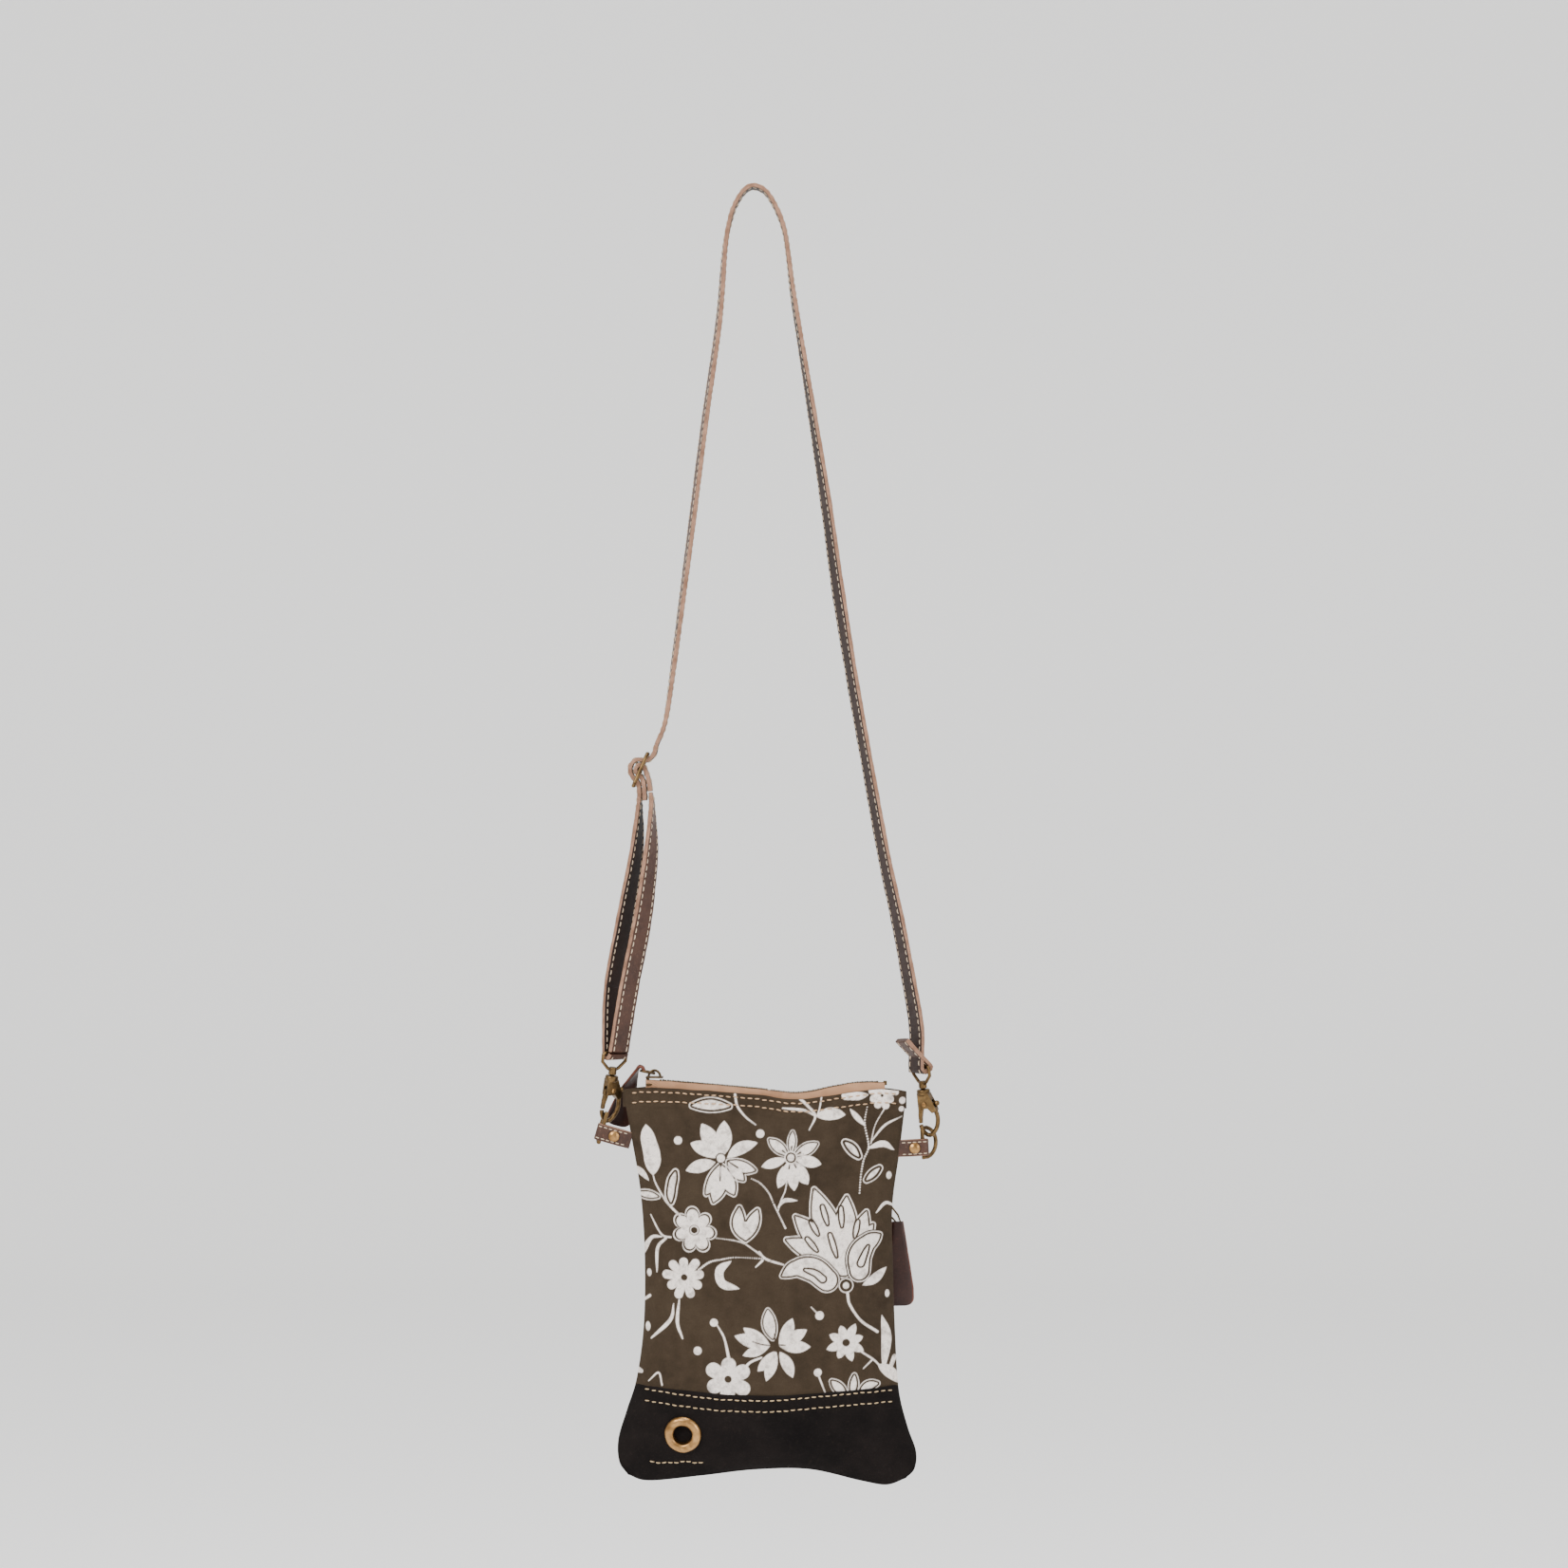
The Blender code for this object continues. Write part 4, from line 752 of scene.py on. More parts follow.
def crown_flower(p):
    """The largest flower: a crown of pointed petals with drop-shaped eyes over two curled petals."""
    crown = p.union(([(50, -614), (42, -592), (33.8, -568.2)], [5, 14.5, 0.4]),
                    ([(51, -614), (51.2, -592), (52.2, -572.6)], [5, 13, 0.4]),
                    ([(52, -612), (58, -597), (63.4, -581.2)], [5, 10.5, 0.4]),
                    ([(48, -612), (36, -597), (23.2, -583.3)], [5, 12, 0.4]),
                    ([(46, -610), (32, -602), (18.2, -596.2)], [5, 9.5, 0.4]),
                    ([(56, -608), (62, -596), (67.0, -588.6)], [5, 7, 0.4]))
    p.line(crown, 1.05, 0.6)
    p.solid(crown)
    for x, z, reach in ((39.9, -582.8, 5.2), (49.2, -583.9, 5.2), (34.0, -589.8, 4.2), (57.6, -590.8, 4.4),
                        (32.6, -599.2, 4.4), (44.6, -599.8, 6.4)):
        aim = Vector((x - 51.4, z + 622)).normalized()
        drop = p.brush([(x - aim.x * reach, z - aim.y * reach),
                        (x + aim.x * reach * 0.5, z + aim.y * reach * 0.5),
                        (x + aim.x * reach, z + aim.y * reach)], [0.4, 2.0, 1.4])
        p.groove(drop, 1.15)
    left = p.brush([(15.8, -616.3), (24, -611.9), (33.5, -613.0), (41, -619)], [0.4, 7.4, 12, 11])
    right = p.brush([(59.4, -614), (59.4, -606), (63.4, -599.4), (71, -594.3)], [9.8, 11.5, 8.2, 0.4])
    for petal, eye in ((left, p.brush([(28.6, -613), (34.4, -615.0), (38.6, -618.4)], [0.5, 2.4, 3.0])),
                       (right, p.brush([(64.4, -600.4), (62.3, -605), (60.2, -610.1)], [0.4, 2.2, 3.0]))):
        p.cut(petal - 2.4)
        p.line(petal, 1.1, 0.5)
        p.solid(petal)
        p.groove(eye, 1.15)
    p.hole(51.8, -622.2, 4.6)
    p.ring(51.8, -622.2, 3.9, 0.5)
    p.dot(51.8, -622.2, 1.8)
    p.stroke([(61.3, -622.2), (68, -619), (74.7, -613)], [0.4, 5.2, 0.4])
    p.stroke([(52.6, -626.5), (53.9, -632.9), (60, -642), (69.6, -649)], [1.5, 1.3, 1.5])


def lobed_flower(p, x=-34.1, z=-591.0):
    """A flower with a wavy edge and an outline, and two rings round its eye."""
    angle = np.arctan2(p.z - z, p.x - x)
    lobe = np.abs(np.cos(3.5 * angle + 0.45)) ** 0.7
    edge = 7.0 + 4.2 * lobe + 0.7 * np.cos(2 * angle + 2.1)
    away = (np.hypot(p.x - x, p.z - z) - edge) * 0.85
    p.line(away, 1.05, 0.6)
    p.solid(away)
    p.hole(x, z, 3.0)
    p.ring(x, z, 2.2, 0.6)


def tulip(p):
    shape = p.union(([(-5, -596), (-8.8, -588), (-8.6, -578.3)], [0.6, 6.4, 0.5]),
                    ([(-5, -596), (-1.6, -588), (1.6, -579.8)], [0.6, 6.4, 0.5]),
                    ([(-5, -594.5), (-5, -589)], [3, 6]))
    p.line(shape, 1.1, 0.6)
    p.solid(shape)


def five_part_flower(p, x=12.3, z=-656.0):
    """The open flower low in the middle: an outlined leaf above, forked petals beside, leaves below."""
    p.leaf([(x - 1.9, z + 4.5), (x - 3.8, z + 12), (x - 4.7, z + 20.3)], [0.5, 6.4, 0.5], 0.9, 0.45)
    for tip, width in (((x + 9.1, z + 15.5), 7), ((x + 17.1, z + 9.2), 7), ((x + 19.1, z - 0.4), 7)):
        middle = (x + 2.2 + (tip[0] - x) * 0.42, z + (tip[1] - z) * 0.5)
        p.stroke([(x + 2.6, z + 0.8), middle, tip], [2, width, 0.4])
    for tip, width in (((x - 18.3, z + 10.2), 6.5), ((x - 23.3, z + 5.7), 7.5), ((x - 18.6, z - 5.2), 6)):
        middle = ((x - 4 + tip[0]) / 2, (z + tip[1]) / 2)
        p.stroke([(x - 4.3, z + 0.4), middle, tip], [1.6, width, 0.4])
    p.leaf([(x + 2.2, z - 3.5), (x + 6.2, z - 10), (x + 9.3, z - 17.6)], [0.5, 6.5, 0.4])
    p.stroke([(x - 0.3, z - 3.5), (x - 2.8, z - 11), (x - 5.5, z - 19.5)], [1, 6.5, 0.4])
    p.stroke([(x - 1.3, z - 3.5), (x - 5.3, z - 9), (x - 10.3, z - 14)], [1, 6, 0.4])
    for route in ([(x, z), (x - 8, z + 1), (x - 13.3, z + 2.7)], [(x, z + 1), (x + 5, z + 0.5)],
                  [(x, z - 3), (x - 1, z + 7)]):
        p.cut(p.brush(route, [0.9, 0.7]))
    p.stroke([(-6.9, -671.3), (-3, -665.6), (3.9, -662.4)], [1.7, 1.3, 1.0])


def left_side(p):
    p.stroke([(-59, -583), (-54.6, -591.4), (-51.5, -594.8), (-47.5, -595.4)], [0.6, 0.9, 1.0])
    p.stroke([(-63.5, -604), (-58.5, -596.1), (-52.8, -595.2)], [3.2, 2.0, 0.7])
    p.stroke([(-50.3, -596.1), (-55, -601.8), (-55.4, -615.2)], [1.3, 1.8, 0.7])
    p.daisy(-39.8, -617.8, 9, 9.4, 4.9, 12, 1.9)
    stem = [(-31.5, -613.3), (-25.4, -608.9), (-18.7, -607.3), (-10, -606), (6.4, -606.8)]
    p.stroke(stem, [1.2, 0.9, 0.5, 0.7])
    p.stroke([(-21.5, -595.3), (-10.8, -596.7), (-4.4, -599), (5.8, -606.3)], [0.5, 0.7, 1.0])
    p.stroke([(2.7, -602.8), (6.5, -606.9), (16.4, -610.2)], [0.8, 1.2, 0.8])
    p.stroke([(0.7, -611.4), (4.5, -607.8)], [0.6, 1.2])
    p.stroke([(-13.3, -608.2), (-19.6, -613.4), (-18.1, -620.8), (-8.8, -623.6)], [0.5, 4.8, 4.6, 0.5])
    p.stroke([(-45.8, -633), (-47.7, -642), (-58.5, -652.8)], [0.6, 2.1, 0.9])
    p.stroke([(-42.6, -630.5), (-43.6, -643.3), (-40.7, -652.2)], [0.8, 1.9, 0.9])
    p.stroke([(-64, -632.5), (-59.4, -629)], [1.2, 1.5])
    p.stroke([(-21.6, -643.5), (-17.1, -651.5), (-14.3, -663.7)], [0.7, 1.1, 1.6])
    p.daisy(-14.9, -674.8, 6, 9.0, 8.2, 28, 2.1)
    p.stroke([(-68, -671), (-64.4, -672)], [3.4, 2.2])
    p.stroke([(-60, -677), (-54.4, -672.2), (-52.4, -679)], [0.6, 1.0, 0.9])


def right_side(p):
    p.daisy(51.8, -654.4, 8, 10.6, 5.0, 18, 2.2, pointed=True)
    p.stroke([(59.1, -658.9), (67, -664.3), (70.2, -667.5)], [0.8, 1.0, 0.9])
    p.stroke([(61.6, -669.4), (66.4, -664.9)], [0.5, 0.9])
    p.stroke([(72.2, -640.1), (74.8, -652), (73.6, -667)], [0.5, 5.8, 2.6])
    p.stroke([(70.2, -667.8), (75, -671), (82, -677)], [0.5, 6.2, 4])
    p.stroke([(79.5, -664), (76.6, -671)], [2.6, 2])
    p.leaf([(51.4, -684), (47.6, -680), (43.8, -676.2)], [0.5, 4.4, 0.5], 1.1, 0.45)
    p.leaf([(55.2, -684), (56.0, -679), (56.5, -673.2)], [0.5, 3.4, 0.4], 1.1, 0.45)
    p.leaf([(59.6, -684), (64.4, -679.6), (69.6, -678.4)], [0.5, 4.4, 0.5], 1.1, 0.45)
    p.stroke([(32, -634), (36.5, -638.5)], [0.4, 0.8])
    p.stroke([(36.3, -673), (40.3, -683.4)], [0.9, 0.6])


def dots(p):
    for x, z, radius, tall in ((-43.4, -540.7, 2.3, 1), (3.2, -536.8, 2.3, 1), (76.3, -560.8, 1.5, 1.4),
                               (75.3, -627.7, 1.3, 1.6), (36.8, -638.8, 2.4, 1), (35.8, -671, 2.2, 1),
                               (-32.1, -658.9, 2.3, 1), (-22.9, -642.9, 2.2, 1), (-59.8, -615.9, 1.3, 1.6),
                               (-60.5, -646.4, 1.4, 1.8)):
        p.dot(x, z, radius, tall)


def floral_print(x, z):
    p = Print(x, z)
    for motif in (top_sprigs, right_branch, corner_flower, star_flower, ring_flower, crown_flower,
                  lobed_flower,
                  tulip, five_part_flower, left_side, right_side, dots):
        motif(p)
    return p.ink


# ------------------------------------------------------------------ the bag
def spread(count, start=0.0, end=1.0, bias=0.45):
    """Columns across the bag, closer together towards its side seams."""
    k = np.linspace(start, end, count)
    return (1 - bias) * k + bias * (0.5 - 0.5 * np.cos(math.pi * k))


def at_seam(side, u, depth):
    """Brings the two shells together at the side seams and turns a depth into Y."""
    near = np.minimum(u, 1 - u)
    return side * np.where(near < 1e-6, 0.03, depth)


CANVAS_TILES = 3
TILE_COLUMNS, TILE_ROWS = 200, 440


def low_v(u):
    """Where the canvas ends below, a little under the band's lapped edge."""
    x = outline(u, np.full_like(u, 0.24))[0]
    return v_at(u, band_top(x) - 2.6)


def canvas_grid(side, u_line, rows):
    """The canvas panel from under the band up to the hem, over the folded edge and down inside."""
    low = low_v(u_line)
    face = rows - 44
    t = np.linspace(0, 1, face)[:, None]
    u = np.broadcast_to(u_line, (rows, len(u_line))).copy()
    v = np.ones((rows, len(u_line)))
    v[:face] = low[None, :] + (1 - low[None, :]) * t
    x, z = outline(u, v)
    depth = canvas_depth(side, u, v, x, z)
    fold = 1.7
    for k in range(rows - face):
        a = math.pi * min(k / 16, 1.0)
        row = face + k
        x[row], z[row] = x[face - 1], z[face - 1]
        room = np.minimum(fold, np.maximum(depth[face - 1] - 0.3, 0.05))
        depth[row] = depth[face - 1] - room * (1 - math.cos(a)) / 2
        down = 0.0 if k <= 16 else (k - 16) / (rows - face - 17) * 9.5
        z[row] = z[face - 1] + 0.45 * math.sin(a) - down
    ripple_edge = 0.18 * np.sin(x * 0.31) * np.sin(x * 0.083 + 1.0)
    z += ripple_edge * ease(v, 0.97, 1.0)
    return x, at_seam(side, u, depth), z, u


def open_slot(panel):
    """Opens the rear pocket's slot in a strip of canvas."""
    mesh = bmesh.new()
    mesh.from_mesh(panel.data)
    gone = []
    for face in mesh.faces:
        at = face.calc_center_median() / MM
        if POCKET_LEFT - 1 < at.x < POCKET_RIGHT + 1 and abs(at.z - POCKET_Z) < POCKET_OPENING:
            gone.append(face)
    bmesh.ops.delete(mesh, geom=gone, context="FACES")
    mesh.to_mesh(panel.data)
    mesh.free()


def make_canvas(side, word, paint, printed):
    made = []
    for tile in range(CANVAS_TILES):
        u_line = spread(TILE_COLUMNS, tile / CANVAS_TILES, (tile + 1) / CANVAS_TILES)
        x, y, z, _ = canvas_grid(side, u_line, TILE_ROWS)
        ink = None
        if printed:
            ink = floral_print(x, z).reshape(x.shape)
            ink[TILE_ROWS - 40:] = 0
        if side > 0:
            above = z - POCKET_Z
            near_edge = np.abs(np.abs(above) - POCKET_OPENING) < 0.24
            z = np.where(near_edge, POCKET_Z + np.sign(above) * POCKET_OPENING, z)
        panel = surface(f"{word}_canvas_{tile + 1}", x, y, z, paint, ink=ink)
        if side > 0:
            open_slot(panel)
        face_out(panel, side)
        attach(panel, "bag", "canvas", f"{word}_canvas_panel")
        made.append(panel)
    return made


def band_rows(side, u_line, rows):
    """The base band from the bottom seam up to its lapped edge, which turns in over the canvas."""
    top = band_top(outline(u_line, np.full_like(u_line, 0.24))[0])
    high = v_at(u_line, top)
    face = rows - 6
    t = 0.5 - 0.5 * np.cos(math.pi * np.linspace(0, 1, face))
    t = 0.45 * t + 0.55 * np.linspace(0, 1, face)
    u = np.broadcast_to(u_line, (rows, len(u_line))).copy()
    v = np.broadcast_to(high, (rows, len(u_line))).copy()
    v[:face] = high[None, :] * t[:, None]
    x, z = outline(u, v)
    depth = band_depth(side, u, v, x, z)
    depth[0] = 0.03
    turned_edge = ((0.14, 0.12), (0.2, 0.4), (0.12, 0.75), (-0.1, 1.05), (-0.6, 1.3), (-1.6, 1.4))
    for k, (rise, drop) in enumerate(turned_edge):
        depth[face + k] = np.maximum(depth[face - 1] - drop, 0.05)
        z[face + k] = z[face - 1] + rise
    z[face - 2:] += 0.14 * np.sin(x[face - 2:] * 0.27 + side) * np.sin(x[face - 2:] * 0.11)
    return x, at_seam(side, u, depth), z


def pierce(obj, x, z, radius):
    """Opens a round hole through a sheet's faces, front to back."""
    mesh = bmesh.new()
    mesh.from_mesh(obj.data)
    gone = []
    for face in mesh.faces:
        at = face.calc_center_median() / MM
        if math.hypot(at.x - x, at.z - z) < radius:
            gone.append(face)
    bmesh.ops.delete(mesh, geom=gone, context="FACES")
    mesh.to_mesh(obj.data)
    mesh.free()


def make_band(side, word):
    x, y, z = band_rows(side, spread(430), 190)
    band = surface(f"{word}_suede_band", x, y, z, SUEDE)
    face_out(band, side)
    if side < 0:
        pierce(band, GROMMET[0], GROMMET[1], GROMMET_HOLE + 1.5)
    return attach(band, "bag", "black_leather", f"{word}_base_band")


def make_lining(side, word):
    u, v = np.meshgrid(np.linspace(0, 1, 150), 0.09 + 0.87 * np.linspace(0, 1, 150))
    wide = 0.5 + (u - 0.5) * LINING_WIDTH
    x, z = outline(wide, v)
    crease = 0.25 * np.sin(x * 0.2 + z * 0.05) * np.sin(z * 0.13)
    crease = crease * ease(v, 0.1, 0.3) * (1 - ease(v, 0.8, 0.95))
    depth = np.maximum(bulge(side, u, v) * LINING_DEPTH + crease, 0.15)
    lining = surface(f"{word}_lining_cloth", x, side * depth, z, COTTON)
    face_out(lining, -side)
    return attach(lining, "bag", "lining", f"{word}_lining")


def face_points(side, x, z, band=False, proud=0.0):
    """Points on the bag's face above these X and Z, and the way out of the cloth there."""
    depth_of = band_depth if band else canvas_depth
    u, v = uv_at(x, z)
    depth = depth_of(side, u, v, x, z)
    slopes = []
    for dx, dz in ((0.6, 0), (0, 0.6)):
        u2, v2 = uv_at(x + dx, z + dz)
        slopes.append((bulge(side, u2, v2) - bulge(side, u, v)) / 0.6)
    out = np.stack([-slopes[0], np.ones_like(x), -slopes[1]], axis=-1)
    out /= np.linalg.norm(out, axis=1, keepdims=True)
    out[:, 1] *= side
    return np.stack([x, side * (depth + proud), z], axis=-1), out


def face_row(name, side, x, z, pitch, paint, slot, band=False, length=2.7, width=0.4, wander=0.12):
    """A row of stitches along a line on the bag's face."""
    places, _ = row_points(x, z, np.zeros_like(x), pitch)
    shake = np.sin(places[:, 0] * 2.1 + side) * wander
    at, out = face_points(side, places[:, 0], places[:, 2] + shake, band, proud=0.22)
    ahead, _ = face_points(side, places[:, 0] + 0.5, places[:, 2] + shake, band, proud=0.22)
    ahead[:, 2] += np.interp(places[:, 0] + 0.5, x, z) - np.interp(places[:, 0], x, z)
    tilt = np.stack([np.zeros(len(at)), np.zeros(len(at)), 0.06 * np.sin(places[:, 0] * 1.3)], axis=-1)
    made = stitches(name, at, ahead - at + tilt, out, paint, length, width)
    return attach(made, "bag", slot)


def bag_stitching(side, word):
    u = np.linspace(0.035, 0.965, 260)
    hem_x, hem_top = outline(u, np.ones_like(u))
    face_row(f"{word}_hem_stitches_upper", side, hem_x, hem_top - 1.9, 4.1, HEM_THREAD, "zip_tape")
    face_row(f"{word}_hem_stitches_lower", side, hem_x, hem_top - row_b_drop(u), 4.1, HEM_THREAD, "zip_tape")
    x = np.linspace(-63, 79, 260)
    for name, drop in (("upper", 2.2), ("lower", 8.6)):
        z = band_top(x) - drop - 0.6 * np.sin(x * 0.05 + drop)
        face_row(f"{word}_band_stitches_{name}", side, x, z, 3.9, BAND_THREAD, "zip_tape", True)


def make_grommet():
    """The brass eyelet in the band: a domed, rolled ring worn bright, with its barrel through the hole."""
    x, z = np.array([GROMMET[0]]), np.array([GROMMET[1]])
    at, _ = face_points(-1, x, z, True)
    above, _ = face_points(-1, x, z + 8, True)
    below, _ = face_points(-1, x, z - 8, True)
    lean = Vector((-0.12, -1.0, (above[0][1] - below[0][1]) / 16)).normalized()
    profile = curve([(5.6, -2.2), (5.6, 0.4), (5.9, 1.5), (6.9, 2.15), (8.2, 2.2), (9.4, 1.65), (10.1, 0.75),
                     (10.3, 0.0), (10.1, -0.3)], 40)
    turn = lean.to_track_quat("Z", "Y").to_matrix()
    angle = np.linspace(0, 2 * math.pi, 96, endpoint=False)[None, :]
    wave = 1 + 0.008 * np.sin(3 * angle + 0.7) + 0.006 * np.sin(7 * angle)
    local = np.stack([profile[:, :1] * np.cos(angle) * wave, profile[:, :1] * np.sin(angle) * wave,
                      profile[:, 1:] * np.ones_like(angle)], axis=-1)
    placed = local @ np.array(turn).T + at[0]
    ring = surface("eyelet_ring", placed[..., 0], placed[..., 1], placed[..., 2], BRIGHT_BRASS, closed=True)
    solid = ring.modifiers.new("thickness", "SOLIDIFY")
    solid.thickness = 0.35 * MM
    solid.offset = -1
    return attach(ring, "bag", "antique_brass", "grommet")


def seam_strip(name, u, v, paint, slot):
    """The closed seam between the bag's two faces, sunk a little between their edges."""
    x, z = outline(u, v)
    along_x, along_z = np.gradient(x), np.gradient(z)
    size = np.hypot(along_x, along_z) + 1e-9
    in_x, in_z = -along_z / size, along_x / size
    facing = np.sign(in_x * (5 - x) + in_z * (-620 - z))
    across = np.linspace(-1, 1, 7)[None, :]
    sunk = 0.5 + 0.2 * across ** 2
    strip = surface(name, x[:, None] + (facing * in_x)[:, None] * sunk, 1.0 * across * np.ones((len(x), 1)),
                    z[:, None] + (facing * in_z)[:, None] * sunk, paint)
    return attach(strip, "bag", slot)


def make_seams():
    for word, edge in (("left", 0.0), ("right", 1.0)):
        low = float(low_v(np.array([edge]))[0])
        v = np.linspace(low, 0.99, 160)
        seam_strip(f"canvas_seam_{word}", np.full_like(v, edge), v, CANVAS_PLAIN, "canvas")
    rise = np.linspace(0.0, 0.25, 60)
    u = np.concatenate([np.zeros(60), np.linspace(0, 1, 220)[1:-1], np.ones(60)])
    v = np.concatenate([rise[::-1], np.zeros(218), rise])
    seam_strip("band_seam", u, v, SUEDE, "black_leather")


def make_painted_shade_disc():
    """A disc of black suede behind the eyelet's hole: painted shade, standing for the dark inside of the bag
    seen through the hole.
    """
    turn = np.linspace(0, 2 * math.pi, 48, endpoint=False)[None, :]
    reach = np.linspace(0.05, 9.2, 8)[:, None]
    x, z = GROMMET[0] + reach * np.cos(turn), GROMMET[1] + reach * np.sin(turn)
    at, _ = face_points(-1, x.ravel(), z.ravel(), True, proud=-2.5)
    disc = surface("eyelet_painted_shade_disc", x, at[:, 1].reshape(x.shape), z, SUEDE, closed=True)
    face_out(disc, -1)
    return attach(disc, "bag", "black_leather")


def make_bag():
    sheets = {}
    for side, word in ((-1, "front"), (1, "rear")):
        sheets[word] = make_canvas(side, word, CANVAS_FRONT if side < 0 else CANVAS_PLAIN, side < 0)
        sheets[word + "_band"] = make_band(side, word)
        sheets[word + "_lining"] = make_lining(side, word)
        bag_stitching(side, word)
    make_grommet()
    # a black disc behind the eyelet's hole, as painted shade
    make_painted_shade_disc()
    make_seams()
    x = np.linspace(POCKET_LEFT - 2, POCKET_RIGHT + 2, 60)
    for name, rise in (("upper", 7.2), ("lower", -7.2)):
        z = np.full_like(x, POCKET_Z + rise)
        face_row(f"pocket_stitches_{name}", 1, x, z, 3.9, HEM_THREAD, "zip_tape")
    x = np.linspace(-59.9, -28.8, 40)
    z = -723.4 + 0.3 * np.sin(x * 0.6)
    face_row("mended_stitches", -1, x, z, 3.4, BAND_THREAD, "zip_tape", True, 2.6, 0.42, 0.4)
    return sheets


# ------------------------------------------------------------------ metal fittings
BODY_OF = {node: body for body, nodes in frame["record"]["behaviour"]["bodies"].items() for node in nodes}


def cast(node, paint, voxel=0.22, rounds=5):
    """A cast or drawn metal piece: the frame's solid with its corners worn round."""
    made = add(f"{node}_worn", NODES[node].data.copy())
    made.data.materials.clear()
    made.data.materials.append(paint)
    made.matrix_world = NODES[node].matrix_world.copy()
    remesh = made.modifiers.new("grain", "REMESH")
    remesh.mode = "VOXEL"
    remesh.voxel_size = voxel * MM
    remesh.use_smooth_shade = True
    soften = made.modifiers.new("worn", "SMOOTH")
    soften.factor = 0.5
    soften.iterations = rounds
    bpy.context.view_layer.update()
    mesh = bpy.data.meshes.new_from_object(made.evaluated_get(bpy.context.evaluated_depsgraph_get()))
    made.modifiers.clear()
    made.data = mesh
    made.data.materials.clear()
    made.data.materials.append(paint)
    made.data.shade_smooth()
    return attach(made, BODY_OF[node], "antique_brass", node)


def make_metal():
    for word in ("left", "right"):
        cast(f"{word}_hook_body", BRASS, 0.2)
        cast(f"{word}_hook_gate", BRASS, 0.16, 4)
        cast(f"{word}_swivel_eye", BRASS, 0.2)
        cast(f"{word}_gate_pin", BRIGHT_BRASS, 0.14, 3)
        cast(f"{word}_d_ring", BRASS, 0.2)
        cast(f"{word}_tab_rivet", BRIGHT_BRASS, 0.16, 4)
    cast("strap_adjuster", BRASS, 0.2)
    cast("main_zip_slider", DARK_BRASS, 0.18)
    cast("main_zip_pull_ring", DARK_BRASS, 0.16)
    cast("pocket_zip_slider", DARK_BRASS, 0.18)
    cast("pocket_pull_wire", DARK_BRASS, 0.14, 4)
    cast("zip_end_stop", DARK_BRASS, 0.16, 3)
    cast("grommet_washer", BRASS, 0.2, 3)


# ------------------------------------------------------------------ scene
def area_light(name, place, aim, size, power, tint=(1, 1, 1)):
    data = bpy.data.lights.new(name, "AREA")
    data.shape = "DISK"
    data.size = size
    data.energy = power
    data.color = tint
    made = bpy.data.objects.new(name, data)
    bpy.context.scene.collection.objects.link(made)
    made.location = place
    made.rotation_euler = (Vector(aim) - Vector(place)).to_track_quat("-Z", "Y").to_euler()


def make_stage():
    """A plain pale floor that runs up into a wall behind."""
    profile = [(-4.5, -0.98), (3.0, -0.98)]
    for a in np.linspace(0.1, math.pi / 2, 14):
        profile.append((3.0 + 0.9 * math.sin(a), -0.08 - 0.9 * math.cos(a)))
    profile += [(3.9, 4.0)]
    mesh = bpy.data.meshes.new("studio_cove")
    points, faces = [], []
    for y, z in profile:
        points += [(-5.0, y, z), (5.0, y, z)]
    for k in range(len(profile) - 1):
        faces.append((2 * k, 2 * k + 1, 2 * k + 3, 2 * k + 2))
    mesh.from_pydata(points, [], faces)
    mesh.shade_smooth()
    paint = Paint("studio_white", 0.9)
    paint.colour(paint.mix(paint.noise(0.8, 2), (0.93, 0.93, 0.93, 1), (0.95, 0.95, 0.945, 1)))
    cove = add("studio_cove", mesh, paint.made)


def make_light():
    world = bpy.data.worlds.new("studio_air")
    bpy.context.scene.world = world
    world.use_nodes = True
    world.node_tree.nodes["Background"].inputs["Color"].default_value = (1.0, 0.995, 0.985, 1)
    world.node_tree.nodes["Background"].inputs["Strength"].default_value = 1.15
    area_light("key", (-1.1, -1.7, 0.7), (0.0, 0, -0.42), 0.9, 62, (1.0, 0.985, 0.96))
    area_light("fill", (1.6, -1.5, 0.0), (0.0, 0, -0.5), 1.2, 24)
    area_light("top", (0.2, -0.2, 1.5), (0.0, 0, -0.5), 0.9, 30)


def make_camera():
    data = bpy.data.cameras.new("camera")
    data.lens = 100
    data.sensor_width = 36
    data.clip_end = 20
    made = bpy.data.objects.new("camera", data)
    bpy.context.scene.collection.objects.link(made)
    made.location = (0.0167, -2.478, -0.3386)
    made.rotation_euler = (math.pi / 2, 0, 0)
    bpy.context.scene.camera = made


# ------------------------------------------------------------------ the strap
STRAP_HALF, STRAP_DEEP = 6.75, 1.25
LEFT_FALL = [(0, 0, 1.3, 0), (-5.6, 0, -0.9, 0), (-10.8, 0, -8.6, 0), (-14, 0, -17.8, 0), (-16.9, 0, -34, -4),
             (-20.4, 0, -75.6, -8), (-28.4, 0, -132.8, -10), (-37, 0, -200.9, -10), (-45.6, 0, -267.3, -6),
             (-50.6, 0, -302, -2), (-55.6, 0, -316, 0), (-57.2, 0, -321.6, 0), (-61.3, 0, -325.2, 0),
             (-66.8, 0, -324.7, 0), (-70.2, 0, -327.7, 0), (-70.6, 0, -331.5, 0), (-69.2, 0, -334.6, 0),
             (-66.8, 0, -337.2, 0), (-65.6, 0, -341.5, 0), (-65.6, 0.4, -350, 4), (-67.4, 2, -378, 28),
             (-73.5, 3.4, -415, 42), (-80.2, 3.6, -454, 47)]
RIGHT_FALL = [(83.6, -4.4, -484, -30), (88.5, -2.4, -489.5, -30)]
